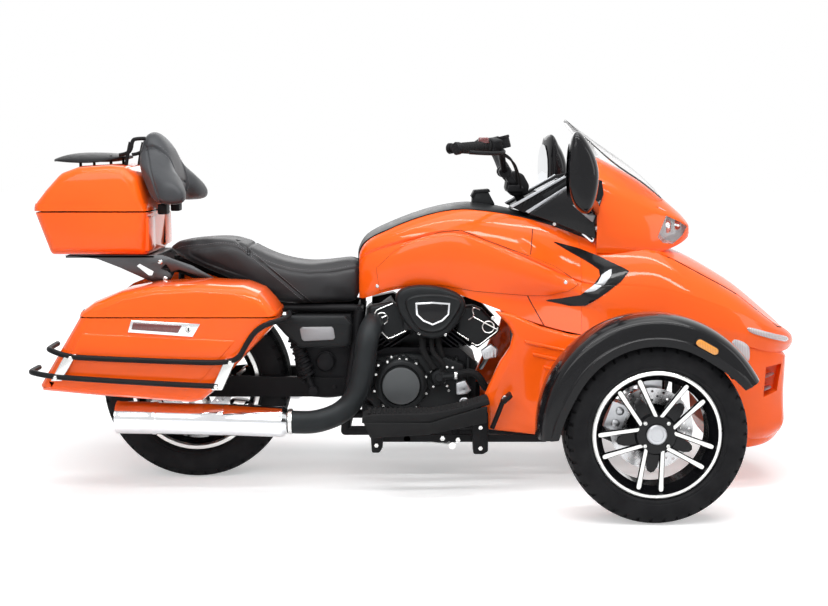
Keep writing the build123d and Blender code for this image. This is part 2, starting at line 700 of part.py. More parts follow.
def screen(z0, z1):
    # rows are x, centre z, half width, edge z
    rows = [(500, 1243, 70, 1236), (560, 1196, 140, 1172), (640, 1142, 168, 1100), (754, 1062, 150, 1028),
            (838, 973, 96, 957)]
    return body_loft([(x, [(0, mid + z1), (w * 0.55, mid * 0.65 + edge * 0.35 + z1), (w, edge + z1),
                           (w, edge + z0), (w * 0.55, mid * 0.65 + edge * 0.35 + z0), (0, mid + z0)])
                      for x, mid, w, edge in rows])


windshield = screen(0, screen_t)
windshield = windshield - cowl_outer - cowl_outer.translate((0, 0, seat_gap))
save_largest("windshield", windshield)
lamp_profile = [(819, 842), (790, 862), (817, 928), (869, 920), (888, 893), (868, 846)]
lens_zone = prism(lamp_profile, 96, 260) + prism(lamp_profile, -260, -96)
lens_zone_wide = prism(inset(lamp_profile, -seam), 95, 260) + prism(inset(lamp_profile, -seam), -260, -95)
lenses = cowl_outer & lens_zone
save("headlamps", *lenses.solids())
cowl = cowl_outer - cowl_inner - lens_zone_wide - front_outer.translate((0, 0, seat_gap)) - front_outer
save_largest("cowl", cowl)

dash_profile = [(330, 950), (545, 1062), (578, 1058), (578, 900), (575, 862), (470, 905)]
dash = prism(dash_profile, 120, 150) + prism(dash_profile, -150, -120)
dash = dash + prism([(500, 1020), (545, 1062), (578, 1058), (578, 960), (540, 960)], -121, 121)
for y0, y1 in ((120, 203), (-203, -120)):
    dash = dash + prism([(556, 862), (590 - seat_gap, 862), (590 - seat_gap, 1000), (556, 1000)], y0, y1)
dash = dash - tank_body.translate((0, 0, 6 + seat_gap)) - tank_body - column_hole - front_outer
save_largest("dash", dash)

# Mirrors on stalks from the cowl sides
mirror_profile = [(452, 1060), (455, 1110), (472, 1196), (497, 1192), (545, 1145), (566, 1083), (564, 1019),
                  (536, 945), (488, 972), (460, 1020)]


def mirror_unit(s):
    head = side_loft(mirror_profile, [(s * 372, 26), (s * 392, 4), (s * 470, 2), (s * 496, 24)])
    stalk = prism([(540, 935), (600, 905), (640, 930), (600, 975), (545, 990)], s * 150, s * 200)
    arm = loft([[(560, s * 196, 925), (610, s * 196, 925), (610, s * 196, 965), (560, s * 196, 965)],
                [(500, s * 400, 985), (540, s * 400, 985), (540, s * 400, 1010), (500, s * 400, 1010)]])
    return head + arm


mirrors = [mirror_unit(s) - cowl_outer - dash for s in (-1, 1)]
save("mirrors", *[largest(shape) for shape in mirrors])

# Handlebar with its column, risers, grips and levers
bar_half = [(290, 60, 1064), (268, 180, 1130), (235, 300, 1160), (108, 400, 1149)]


def handlebar():
    shape = rod(on_column(762), on_column(1006), column_r)
    shape = shape + tube([on_column(1006), (318, 0, 1034), (290, 0, 1064)], column_r)
    shape = shape + box(300, 345, -75, 75, 1004, 1022)
    for s in (-1, 1):
        points = [(290, 0, 1064)] + [(x, s * y, z) for x, y, z in bar_half]
        shape = shape + tube(points, 12)
        shape = shape + rod((322, s * 60, 1012), (290, s * 60, 1064), 15)
        a, b = Vector(*points[3]), Vector(*points[4])
        along = (b - a).normalized()
        shape = shape + rod(b - along * 135, b + along * 4, grip_r)
        shape = shape + rod(b + along * 4, b + along * 16, grip_r + 3)
        shape = shape + rod(a, a + along * 24, 24)
        lever = [a + Vector(12, 0, -2), a + Vector(52, s * 22, -6), a + Vector(-38, s * 118, -14)]
        shape = shape + tube([tuple(point) for point in lever], 6)
    return shape


save("handlebar", handlebar())

# Lower side panels
lower_profile = [(243, 615), (287, 569), (304, 535), (294, 492), (261, 444), (196, 299), (229, 231), (418, 208),
                 (432, 300), (478, 410), (556, 500), (606, 516), (530, 530), (494, 536), (394, 563), (300, 605)]
lower = side_loft(lower_profile, [(262, 0), (284, 0), (294, 10)])
lower = largest(lower - side_solid - frame_solid + box(390, 412, 255, 264, 206, 230))
for x, z in ((340, 300), (400, 480)):
    lower = lower + box(x - 20, x + 20, 190 + seat_gap, 264, z - 15, z + 15)
lower = lower - front_outer
save("lower_panels", lower, flip(lower))

# Side covers under the seat
cover_profile = [(-513, 588), (-259, 588), (-236, 560), (-238, 487), (-262, 476), (-413, 476), (-463, 521),
                 (-497, 560)]
cover = side_loft(cover_profile, [(176, 0), (186, 0), (194, 12)])
cover = cover + box(-350, -330, seat_rail_y, 177, 575, seat_rail_z - 5)
cover = largest(cover - frame_solid)
save("side_covers", cover, flip(cover))

# Footboards with their pedals
board_profile = [(-196, 283), (-160, 293), (28, 296), (215, 340), (225, 323), (215, 289), (28, 253), (-186, 246)]


def footboard(s):
    y0, y1 = s * 297, s * 400
    shape = prism(board_profile, y0, y1)
    for x, z in ((-140, 247), (60, 262)):
        shape = shape + box(x - 14, x + 14, *sorted((y0, y0 + s * 24)), rail_z + 12 + seat_gap, z)
        shape = shape + box(x - 20, x + 20, *sorted((s * 252, s * 319)), rail_z + 12 + seat_gap, rail_z + 24)
    # the pedal: lever, pad, pivot and its bracket
    for start, end, r in (((230, 330, 250), (280, 330, 345), 7), ((280, 318, 345), (280, 380, 345), 11),
                          ((230, 304, 250), (230, 338, 250), 9), ((200, 314, 290), (230, 314, 250), 8)):
        shape = shape + rod((start[0], s * start[1], start[2]), (end[0], s * end[1], end[2]), r)
    return shape


save("footboards", *[footboard(s) - frame_solid for s in (-1, 1)])

# Seat. Rows are x, top z, half width, shoulder drop, bottom z.
seat_rows = [(-889, 818, 70, 6, 806), (-802, 838, 132, 12, 766), (-700, 846, 152, 14, 722),
             (-628, 838, 158, 16, 690), (-553, 800, 158, 16, 640), (-473, 773, 168, 18, 618),
             (-386, 760, 172, 18, 618), (-317, 766, 150, 18, 618), (-217, 780, 112, 20, 618)]
seat = body_loft([(x, [(0, top), (w * 0.55, top), (w * 0.9, top - drop), (w, (top + low) / 2), (w * 0.92, low),
                       (0, low)])
                  for x, top, w, drop, low in seat_rows])
spine_half = backbone_w / 2 + 2
seat = seat - box(-260, 0, -spine_half, spine_half, 600, backbone_z + backbone_h + 2) - frame_solid
save_largest("seat", seat - fender_clear)

# Top case, its lid, the rack and the backrest
case_all = [(-1242, 793), (-1290, case_seam_z), (-1286, 970), (-1199, 1069), (-1133, 1086), (-1033, 1096),
            (-957, 1079), (-935, 1013), (-911, case_seam_z), (-924, 793)]
case_stations = [(-case_half_w, 14), (-case_half_w + 16, 0), (case_half_w - 16, 0), (case_half_w, 14)]
case_outer = side_loft(case_all, case_stations)
case_inner = side_loft(case_all, [(-case_half_w + case_wall, 14 + case_wall), (-case_half_w + 18, case_wall),
                                  (case_half_w - 18, case_wall), (case_half_w - case_wall, 14 + case_wall)])
case_shell = case_outer - case_inner
low_half = box(-1400, -800, -400, 400, 700, case_seam_z - seam / 2)
high_half = box(-1400, -800, -400, 400, case_seam_z + seam / 2, 1200)
base = case_shell & low_half
lid = case_shell & high_half
hinge_x = -903
for y in (-120, 120):
    base = base + box(-913, hinge_x + 10, y - 30, y - 2, case_seam_z - 40, case_seam_z - 1) \
        + rod((hinge_x, y - 30, case_seam_z), (hinge_x, y - 2, case_seam_z), 8)
    base = base - rod((hinge_x, y - 3, case_seam_z), (hinge_x, y + 31, case_seam_z), 9)
    lid = lid - box(-916, hinge_x + 12, y - 31, y + 31, case_seam_z - 5, case_seam_z + 10)
    knuckle_plate = box(hinge_x - 6, hinge_x + 6, y + 1, y + 29, case_seam_z, case_seam_z + 42)
    lid = lid + rod((hinge_x, y + 1, case_seam_z), (hinge_x, y + 29, case_seam_z), 8) + knuckle_plate \
        + box(-930, hinge_x + 6, y + 1, y + 29, case_seam_z + 30, case_seam_z + 42)
lid = lid - case_inner
save_largest("case_base", base)
lid = largest(lid)
save("case_lid", lid)

rack_z = 1126
rack_t = 12
rack_profile = [(-1229, -60), (-1229, 60), (-1190, 110), (-1110, 130), (-1010, 130), (-966, 110), (-966, -110),
                (-1010, -130), (-1110, -130), (-1190, -110)]
rack = Solid.extrude(Face(Wire.make_polygon([(x, y, rack_z) for x, y in rack_profile])), Vector(0, 0, rack_t))
slot_in = inset(rack_profile, 20)
hole = Solid.extrude(Face(Wire.make_polygon([(x, y, rack_z - 1) for x, y in slot_in])), Vector(0, 0, rack_t + 2))
rack = rack - hole
for y in (-70, 0, 70):
    rack = rack + box(-1225, -970, y - 9, y + 9, rack_z, rack_z + rack_t)
for x in (-1170, -1050):
    for y in (-70, 70):
        rack = rack + rod((x, y, 1050), (x, y, rack_z + 4), 8)
rack = rack - case_outer.translate((0, 0, seat_gap))
rack = rack + tube([(-957, -95, 1132), (-945, -95, 1176), (-945, 95, 1176), (-957, 95, 1132)], 7)
for y in (-95, 95):
    rack = rack + box(-970, -952, y - 9, y + 9, rack_z, rack_z + rack_t - 2)
save_largest("luggage_rack", rack)

# Stations are y and the outline's (x, z) points from the bottom rear round over the top to the front.
back_stations = [(270, [(-880, 985), (-878, 1020), (-862, 1046), (-840, 1052), (-812, 1040), (-790, 1020),
                        (-782, 990), (-800, 966), (-850, 968)]),
                 (215, [(-896, 968), (-892, 1030), (-886, 1076), (-868, 1086), (-838, 1070), (-806, 1036),
                        (-790, 990), (-806, 960), (-850, 958)]),
                 (120, [(-898, 962), (-922, 1040), (-946, 1120), (-925, 1150), (-895, 1135), (-862, 1072),
                        (-836, 1000), (-840, 960), (-870, 955)]),
                 (70, [(-898, 962), (-928, 1050), (-960, 1118), (-936, 1194), (-900, 1212), (-872, 1145),
                       (-846, 1010), (-846, 962), (-870, 955)])]
back_stations = back_stations + [(-y, outline) for y, outline in reversed(back_stations)]
backrest = loft([[(x, y, z) for x, z in outline] for y, outline in back_stations])
backrest = backrest - case_outer.translate((1, 0, 0)) - lid - base - rack
save_largest("backrest", backrest)

bracket_profile = [(-1132, 792.5), (-1136, 781), (-982, 750), (-865, 699), (-831, 699), (-830, 744), (-612, 712),
                   (-779, 792.5)]
bracket = prism(bracket_profile, 165, 171) + prism(bracket_profile, -171, -165)
bracket = bracket + box(-912, -886.5, -168, 168, 742, 772)
bracket = bracket + box(-1120, -930, 140, 171, 786.5, 792.7) + box(-1120, -930, -171, -140, 786.5, 792.7)
save("case_bracket", bracket - frame_solid)

# Panniers: base, hinged lid, guard rails
pannier_profile = [(-1232, 366), (-814, 328), (-717, 331), (-668, 356), (-513, 539), (-470, 606), (-513, 680),
                   (-583, 709), (-711, 719), (-871, 709), (-974, 693), (-1024, 641), (-1104, 571)]
pannier_outer = side_loft(pannier_profile, [(pannier_in_y, 6), (pannier_in_y + 8, 0), (pannier_out_y - 50, 0),
                                            (pannier_out_y - 14, 8), (pannier_out_y, 26)])
w = pannier_wall
pannier_inner = side_loft(pannier_profile, [(pannier_in_y + w, 6 + w), (pannier_in_y + 8 + w, w),
                                            (pannier_out_y - 50, w), (pannier_out_y - 14 - w, 8 + w),
                                            (pannier_out_y - w, 26 + w)])
pannier_shell = pannier_outer - pannier_inner
pannier_base = largest(pannier_shell & box(-1400, -400, 0, 500, 200, pannier_seam_z - seam / 2))
pannier_lid = largest(pannier_shell & box(-1400, -400, 0, 500, pannier_seam_z + seam / 2, 900))
pannier_hinge_z = 704
for x in (-900, -640):
    leaf = box(x - 20, x + 20, pannier_in_y - 8, pannier_in_y - seam, 560, pannier_hinge_z)
    pannier_base = pannier_base + leaf + box(x - 20, x + 20, pannier_in_y - 8, pannier_in_y + 8, 540, 560)
    pannier_base = pannier_base + rod((x - 20, pannier_in_y - 8, pannier_hinge_z),
                                      (x + 20, pannier_in_y - 8, pannier_hinge_z), 6)
for side, s in (("left", 1), ("right", -1)):
    save(f"pannier_{side}_base", pannier_base if s == 1 else flip(pannier_base))
    save(f"pannier_{side}_lid", pannier_lid if s == 1 else flip(pannier_lid))

guard_y = pannier_out_y + 20
upper_guard = [(-448, 215, 590), (-440, guard_y, 576), (-612, guard_y, 468), (-1111, guard_y, 484),
               (-1200, guard_y - 12, 508), (-1200, 300, 508)]
lower_guard = [(-655, guard_y + 5, 390), (-1160, guard_y + 5, 420), (-1245, guard_y - 5, 434), (-1262, 320, 432)]
guard = tube(upper_guard, guard_r) + tube(lower_guard, guard_r)
for (x0, z0), (x1, z1) in (((-1124, 484), (-1174, 421)), ((-613, 469), (-660, 391))):
    guard = guard + prism([(x0 - 14, z0), (x0 + 14, z0), (x1 + 14, z1), (x1 - 14, z1)], guard_y - 24, guard_y + 2)
    guard = guard + prism([(x1 - 14, z1), (x1 + 14, z1), (x0, z0 + 10)], guard_y - 4, guard_y + 5)
guard = largest(guard - pannier_outer - pannier_base)
save("pannier_guards", guard, flip(guard))
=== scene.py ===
import bmesh
import bpy
import math
from mathutils import Matrix, Vector


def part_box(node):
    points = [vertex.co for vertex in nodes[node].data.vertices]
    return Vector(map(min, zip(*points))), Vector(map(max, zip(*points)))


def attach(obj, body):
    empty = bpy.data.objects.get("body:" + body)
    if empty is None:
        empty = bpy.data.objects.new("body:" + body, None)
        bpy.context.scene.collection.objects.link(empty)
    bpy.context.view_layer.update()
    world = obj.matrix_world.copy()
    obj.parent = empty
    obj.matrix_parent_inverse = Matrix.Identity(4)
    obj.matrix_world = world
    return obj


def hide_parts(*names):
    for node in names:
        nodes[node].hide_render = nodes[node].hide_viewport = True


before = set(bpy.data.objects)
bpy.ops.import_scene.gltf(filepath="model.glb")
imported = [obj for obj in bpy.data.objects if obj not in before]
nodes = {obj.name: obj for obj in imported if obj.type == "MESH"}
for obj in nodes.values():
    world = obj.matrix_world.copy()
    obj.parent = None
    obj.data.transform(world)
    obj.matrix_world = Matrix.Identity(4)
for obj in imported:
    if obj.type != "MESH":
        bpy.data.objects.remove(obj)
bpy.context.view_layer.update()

mm = 0.001  # outlines below are written in millimetres


# Shader maths: a socket that works in expressions
class Signal:
    def __init__(self, shader, socket):
        self.shader = shader
        self.socket = socket

    def maths(self, operation, first, second):
        return self.shader.node("ShaderNodeMath", {"operation": operation}, [first, second])

    def __add__(self, other):
        return self.maths("ADD", self, other)

    def __sub__(self, other):
        return self.maths("SUBTRACT", self, other)

    def __rsub__(self, other):
        return self.maths("SUBTRACT", other, self)

    def __mul__(self, other):
        return self.maths("MULTIPLY", self, other)

    __radd__ = __add__
    __rmul__ = __mul__


class Shader:
    def __init__(self, name, **fixed):
        self.material = bpy.data.materials.new(name)
        self.material.use_nodes = True
        self.tree = self.material.node_tree
        self.surface = self.tree.nodes["Principled BSDF"]
        for socket, value in fixed.items():
            self.surface.inputs[socket.replace("_", " ")].default_value = value
        self.place = self.node("ShaderNodeTexCoord", output="Object")

    def node(self, kind, settings=None, inputs=(), output=0):
        made = self.tree.nodes.new(kind)
        for key, value in (settings or {}).items():
            if key == "stops":
                for element, (position, shade) in zip(made.color_ramp.elements, value):
                    element.position = position
                    element.color = (shade, shade, shade, 1)
            else:
                setattr(made, key, value)
        pairs = inputs.items() if isinstance(inputs, dict) else enumerate(inputs)
        for key, value in pairs:
            self.plug(value, made.inputs[key])
        return Signal(self, made.outputs[output])

    def plug(self, value, socket):
        if isinstance(value, Signal):
            self.tree.links.new(value.socket, socket)
        else:
            socket.default_value = value

    def feed(self, **channels):
        for name, value in channels.items():
            self.plug(value, self.surface.inputs[name.replace("_", " ")])

    def noise(self, scale, detail=3, roughness=0.5):
        return self.node("ShaderNodeTexNoise", {},
                         {"Vector": self.place, "Scale": scale, "Detail": detail, "Roughness": roughness})

    def cells(self, scale, feature="F1"):
        return self.node("ShaderNodeTexVoronoi", {"feature": feature}, {"Vector": self.place, "Scale": scale})

    def ramp(self, value, low, high):
        return self.node("ShaderNodeValToRGB", {"stops": [(low, 0), (high, 1)]}, [value])

    def blend(self, factor, first, second):
        return self.node("ShaderNodeMix", {"data_type": "RGBA"}, {0: factor, 6: first, 7: second}, output=2)

    def axis(self, name):
        return self.node("ShaderNodeSeparateXYZ", {}, [self.place], output=name)

    def bump(self, height, strength, depth):
        return self.node("ShaderNodeBump", {}, {"Strength": strength, "Distance": depth, "Height": height})


def tint(r, g, b):
    return (r, g, b, 1)


# Paint under clear lacquer
orangeLook = {"colour": tint(1.0, 0.128, 0.006), "deep": tint(0.92, 0.095, 0.004), "patch": 3.2, "peel": 180}
blackLook = {"colour": tint(0.004, 0.004, 0.005), "deep": tint(0.006, 0.006, 0.007), "patch": 5,
             "peel": 180, "coat": 1.24}
silverLook = {"colour": tint(0.46, 0.47, 0.49), "deep": tint(0.38, 0.39, 0.41), "patch": 6, "peel": 300}


def paint(name, look, roughness=0.34, metallic=0.0, lacquer=0.93):
    shader = Shader(name, Coat_Roughness=0.04, Coat_IOR=look.get("coat", 1.32), Metallic=metallic,
                    Specular_IOR_Level=0.1)
    patch = shader.noise(look["patch"], 4)
    flake = shader.cells(900)
    shader.feed(Base_Color=shader.blend(patch, look["deep"], look["colour"]),
                Roughness=shader.noise(60) * 0.08 + roughness + flake * 0.03,
                Coat_Weight=shader.noise(9) * 0.04 + lacquer,
                Normal=shader.bump(shader.noise(look["peel"], 2), 0.03, 0.0006))
    return shader.material


# Powder coat, cast and moulded black surfaces: grain size and depth differ
def grained(name, low, high, grain, depth, roughness, metallic=0.0):
    shader = Shader(name, Metallic=metallic, Specular_IOR_Level=0.09)
    wear = shader.noise(14, 6)
    grit = shader.noise(grain, 4, 0.6)
    shader.feed(Base_Color=shader.blend(wear, low, high),
                Roughness=shader.noise(35) * 0.16 + roughness,
                Normal=shader.bump(grit, 0.5, depth))
    return shader.material


def polished(name, colour, roughness, grain):
    shader = Shader(name, Metallic=1.0)
    film = shader.noise(grain, 5)
    shader.feed(Base_Color=shader.blend(film, tint(*[c * 0.86 for c in colour]), tint(*colour)),
                Roughness=shader.noise(22, 5) * roughness + roughness * 0.5,
                Normal=shader.bump(film, 0.02, 0.0004))
    return shader.material


def brushed(name, colour):
    shader = Shader(name, Metallic=1.0)
    streak = shader.node("ShaderNodeMapping", {}, {"Vector": shader.place, "Scale": (4, 260, 260)})
    lines = shader.node("ShaderNodeTexNoise", {}, {"Vector": streak, "Scale": 2.0, "Detail": 4})
    shader.feed(Base_Color=shader.blend(lines, tint(*[c * 0.75 for c in colour]), tint(*colour)),
                Roughness=lines * 0.2 + 0.24, Normal=shader.bump(lines, 0.12, 0.0003))
    return shader.material


def hide(name, low, high, grain=520, depth=0.0006):
    # leather: pebbled cells, broad patches of sheen
    shader = Shader(name, Sheen_Weight=0.08, Sheen_Roughness=0.4, Specular_IOR_Level=0.35)
    pebble = shader.cells(grain, "SMOOTH_F1")
    shader.feed(Base_Color=shader.blend(shader.noise(9, 5), low, high),
                Roughness=shader.noise(18, 4) * 0.2 + 0.42 - pebble * 0.05,
                Normal=shader.bump(pebble + shader.noise(grain * 2) * 0.4, 0.45, depth))
    return shader.material


def clear(name, colour, roughness, transmission=1.0):
    shader = Shader(name, IOR=1.46, Transmission_Weight=transmission)
    haze = shader.noise(12, 4)
    shader.feed(Base_Color=shader.blend(haze, tint(*[c * 0.94 for c in colour]), tint(*colour)),
                Roughness=haze * 0.04 + roughness)
    return shader.material


def ribbedLens(name, colour, pitch, transmission, glow=None):
    # a lens with fine upright ribs behind its face
    shader = Shader(name, IOR=1.5, Transmission_Weight=transmission, Coat_Weight=1.0)
    ribs = shader.node("ShaderNodeMath", {"operation": "SINE"}, [shader.axis("X") * (6283 / pitch)])
    shader.feed(Base_Color=shader.blend(ribs * 0.5 + 0.5, tint(*[c * 0.7 for c in colour]), tint(*colour)),
                Roughness=shader.noise(30) * 0.05 + 0.08, Normal=shader.bump(ribs, 0.25, 0.0008))
    if glow:
        shader.feed(Emission_Color=glow)
        shader.surface.inputs["Emission Strength"].default_value = 0.15
    return shader.material


def tyreRubber(name):
    shader = Shader(name, Specular_IOR_Level=0.12)
    dust = shader.noise(16, 5)
    shader.feed(Base_Color=shader.blend(shader.ramp(dust, 0.35, 0.75), tint(0.006, 0.006, 0.007),
                                        tint(0.014, 0.014, 0.015)),
                Roughness=shader.noise(60, 4) * 0.2 + 0.52,
                Normal=shader.bump(shader.noise(420, 3), 0.25, 0.0006))
    return shader.material


finish = {
    "orange": paint("lacquerOrange", orangeLook),
    "black": paint("lacquerBlack", blackLook, roughness=0.2),
    "silver": paint("lacquerSilver", silverLook, roughness=0.3, metallic=0.7),
    "frame": grained("powderCoat", tint(0.007, 0.007, 0.008), tint(0.014, 0.014, 0.015), 900, 0.0003, 0.34),
    "cast": grained("castBlack", tint(0.009, 0.009, 0.010), tint(0.020, 0.020, 0.022), 700, 0.0006, 0.40,
                    0.2),
    "satin": grained("satinCover", tint(0.014, 0.015, 0.016), tint(0.022, 0.023, 0.024), 1200, 0.0002, 0.30,
                     0.3),
    "plastic": grained("mouldedBlack", tint(0.008, 0.008, 0.009), tint(0.014, 0.014, 0.015), 1500, 0.0003,
                       0.42),
    "rubber": grained("softRubber", tint(0.010, 0.010, 0.011), tint(0.020, 0.020, 0.020), 600, 0.0005, 0.62),
    "pipe": grained("heatBlack", tint(0.016, 0.018, 0.019), tint(0.030, 0.033, 0.035), 1400, 0.0002, 0.34,
                    0.2),
    "chrome": polished("chromePlate", (0.80, 0.81, 0.83), 0.10, 40),
    "gunmetal": brushed("gunmetal", (0.09, 0.092, 0.096)),
    "badge": grained("badgeGrey", tint(0.26, 0.26, 0.27), tint(0.30, 0.30, 0.31), 900, 0.0002, 0.35, 0.3),
    "cap": grained("capGrey", tint(0.085, 0.09, 0.093), tint(0.105, 0.11, 0.113), 900, 0.0002, 0.35, 0.3),
    "alloy": polished("castAlloy", (0.52, 0.53, 0.55), 0.34, 300),
    "bolt": polished("zincBolt", (0.72, 0.72, 0.71), 0.24, 200),
    "steel": brushed("brushedSteel", (0.50, 0.51, 0.53)),
    "seat": hide("seatHide", tint(0.008, 0.008, 0.009), tint(0.017, 0.017, 0.019)),
    "pad": hide("backHide", tint(0.020, 0.022, 0.025), tint(0.036, 0.038, 0.042), 420),
    "thread": grained("seamThread", tint(0.11, 0.11, 0.115), tint(0.19, 0.19, 0.20), 3000, 0.0003, 0.7),
    "screen": clear("screenClear", (0.985, 0.975, 0.975), 0.0),
    "smoke": clear("lensSmoke", (0.42, 0.43, 0.45), 0.03),
    "lens": clear("lampLens", (0.90, 0.92, 0.92), 0.02),
    "mirror": polished("mirrorGlass", (0.92, 0.93, 0.94), 0.02, 10),
    "drl": ribbedLens("lampSilver", (0.72, 0.74, 0.77), 6, 0.35),
    "amber": ribbedLens("amberLens", (0.95, 0.36, 0.02), 5, 0.2, tint(0.9, 0.3, 0.02)),
    "red": ribbedLens("redLens", (0.16, 0.012, 0.012), 5, 0.15),
    "tyre": tyreRubber("tyreRubber"),
    "line": polished("cutLine", (0.82, 0.82, 0.80), 0.3, 80),
    "gold": polished("discSteel", (0.60, 0.60, 0.61), 0.26, 200),
}
print("materials ready")


# Modelling helpers. A ring is a list of (x, y, z) in millimetres.
def pickOnly(piece):
    bpy.ops.object.select_all(action="DESELECT")
    piece.select_set(True)
    bpy.context.view_layer.objects.active = piece


def finishWith(piece, kind, **settings):
    pickOnly(piece)
    bpy.ops.object.modifier_add(type=kind)
    modifier = piece.modifiers[-1]
    for key, value in settings.items():
        setattr(modifier, key, value)
    bpy.ops.object.modifier_apply(modifier=modifier.name)


def bevelled(piece, width, steps=2, **limits):
    finishWith(piece, "BEVEL", width=width * mm, segments=steps, limit_method="ANGLE", **limits)
    return piece


def editAll(piece, operator, **settings):
    # one edit-mode operator on the whole mesh
    pickOnly(piece)
    bpy.ops.object.mode_set(mode="EDIT")
    bpy.ops.mesh.select_all(action="SELECT")
    operator(**settings)
    bpy.ops.object.mode_set(mode="OBJECT")
    return piece


def outward(piece):
    return editAll(piece, bpy.ops.mesh.normals_make_consistent, inside=False)


def skin(name, rings, capped=True, creases=None, ringCreases=None, levels=0):
    # a ring is drawn, then extruded to each next ring and placed
    bpy.ops.object.select_all(action="DESELECT")
    bpy.ops.mesh.primitive_circle_add(vertices=len(rings[0]), radius=1)
    piece = bpy.context.active_object
    piece.name = name
    piece.data.name = name
    bpy.ops.object.mode_set(mode="EDIT")
    if capped:
        bpy.ops.mesh.edge_face_add()
    mesh = bmesh.from_edit_mesh(piece.data)
    mesh.verts.ensure_lookup_table()
    order = list(range(len(rings[0])))
    for index, point in zip(order, rings[0]):
        mesh.verts[index].co = Vector(point) * mm
    grid = [order]
    for ring in rings[1:]:
        bpy.ops.mesh.extrude_region_move()
        mesh = bmesh.from_edit_mesh(piece.data)
        mesh.verts.ensure_lookup_table()
        above = {}
        for vert in mesh.verts:
            if vert.select:
                for edge in vert.link_edges:
                    if not edge.other_vert(vert).select:
                        above[edge.other_vert(vert).index] = vert.index
        order = [above[index] for index in order]
        for index, point in zip(order, ring):
            mesh.verts[index].co = Vector(point) * mm
        grid.append(order)
    sharp = {}
    for column, weight in (creases or {}).items():
        for lower, upper in zip(grid, grid[1:]):
            sharp[frozenset((lower[column], upper[column]))] = weight
    for row, weight in (ringCreases or {}).items():
        order = grid[row]
        for first, second in zip(order, order[1:] + order[:1]):
            sharp[frozenset((first, second))] = weight
    for weight in sorted(set(sharp.values())):
        mesh = bmesh.from_edit_mesh(piece.data)
        for face in mesh.faces:
            face.select = False
        for edge in mesh.edges:
            edge.select = sharp.get(frozenset(v.index for v in edge.verts)) == weight
        bpy.ops.transform.edge_crease(value=weight)
    bpy.ops.mesh.select_all(action="SELECT")
    bpy.ops.mesh.normals_make_consistent(inside=False)
    bpy.ops.object.mode_set(mode="OBJECT")
    if levels:
        finishWith(piece, "SUBSURF", levels=levels, render_levels=levels)
    return piece


def smooth(piece, angle=35):
    pickOnly(piece)
    bpy.ops.object.shade_smooth_by_angle(angle=math.radians(angle))
    return piece


def turned(name, centre, profile, segments=48, axis="Y", closed=False, levels=0):
    # profile points are (radius, along the axis); closed joins the last ring to the first
    def point(r, along, k):
        turn = 2 * math.pi * k / segments
        a, b = r * math.cos(turn), r * math.sin(turn)
        placed = {"Y": (a, along, b), "X": (along, a, b), "Z": (a, b, along)}[axis]
        return [c + d for c, d in zip(centre, placed)]
    rings = [[point(r, along, k) for k in range(segments)] for r, along in profile]
    piece = skin(name, rings + rings[:1] if closed else rings, capped=not closed, levels=levels)
    if closed:
        finishWith(piece, "WELD", merge_threshold=0.00001)
        outward(piece)
    return smooth(piece)


def slab(name, outline, y0, y1, bevel=0, steps=2, levels=0):
    piece = skin(name, [[(x, y, z) for x, z in outline] for y in (y0, y1)], levels=levels)
    if bevel:
        bevelled(piece, bevel, steps)
    return smooth(piece)


def block(name, low, high, bevel=0, steps=2):
    (x0, y0, z0), (x1, y1, z1) = low, high
    outline = [(x0, z0), (x1, z0), (x1, z1), (x0, z1)]
    return slab(name, outline, y0, y1, bevel, steps)


def pipe(name, points, radius, smoothness=6, around=12, order=3):
    bpy.ops.object.select_all(action="DESELECT")
    bpy.ops.curve.primitive_nurbs_path_add()
    curve = bpy.context.active_object
    curve.name = name
    spline = curve.data.splines[0]
    if len(points) > len(spline.points):
        spline.points.add(len(points) - len(spline.points))
    elif len(points) < len(spline.points):
        curve.data.splines.clear()
        spline = curve.data.splines.new("NURBS")
        spline.points.add(len(points) - 1)
    for spot, point in zip(spline.points, points):
        spot.co = [c * mm for c in point] + [1]
    spline.use_endpoint_u = True
    spline.order_u = min(order, len(points))
    curve.data.resolution_u = smoothness
    curve.data.bevel_depth = radius * mm
    curve.data.bevel_resolution = around // 4
    curve.data.use_fill_caps = True
    pickOnly(curve)
    bpy.ops.object.convert(target="MESH")
    piece = bpy.context.active_object
    outward(piece)
    return smooth(piece)


def cutBy(piece, cutter, operation="DIFFERENCE", keep=False):
    finishWith(piece, "BOOLEAN", object=cutter, operation=operation, solver="EXACT")
    if not keep:
        bpy.data.objects.remove(cutter)
    return piece


def copyOf(piece, name, matrix=None):
    twin = piece.copy()
    twin.data = piece.data.copy()
    twin.name = name
    twin.data.name = name
    bpy.context.collection.objects.link(twin)
    if matrix is not None:
        twin.data.transform(matrix)
        if matrix.is_negative:
            outward(twin)
    return twin


acrossCentre = Matrix.Scale(-1, 4, (0, 1, 0))


def joined(name, pieces):
    bpy.ops.object.select_all(action="DESELECT")
    for piece in pieces:
        piece.select_set(True)
    bpy.context.view_layer.objects.active = pieces[0]
    bpy.ops.object.join()
    piece = bpy.context.active_object
    piece.name = name
    piece.data.name = name
    return piece


def bothSides(name, piece):
    return joined(name, [piece, copyOf(piece, name + "Far", acrossCentre)])


def settle(piece, body="chassis", slot=None, stands=()):
    pickOnly(piece)
    bpy.ops.object.transform_apply(location=True, rotation=True, scale=True)
    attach(piece, body)
    if stands:
        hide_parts(*stands)
    return piece


def coat(piece, material):
    piece.data.materials.clear()
    piece.data.materials.append(finish[material])
    return piece


def dress(piece, material, body="chassis", slot=None, stands=()):
    return settle(coat(piece, material), body, slot, stands)


def recoat(piece, material, test):
    # faces that pass the test get a second finish; it sees the face's normal and centre in millimetres
    piece.data.materials.append(finish[material])
    index = len(piece.data.materials) - 1
    for face in piece.data.polygons:
        if test(face.normal, face.center * 1000):
            face.material_index = index
    return piece


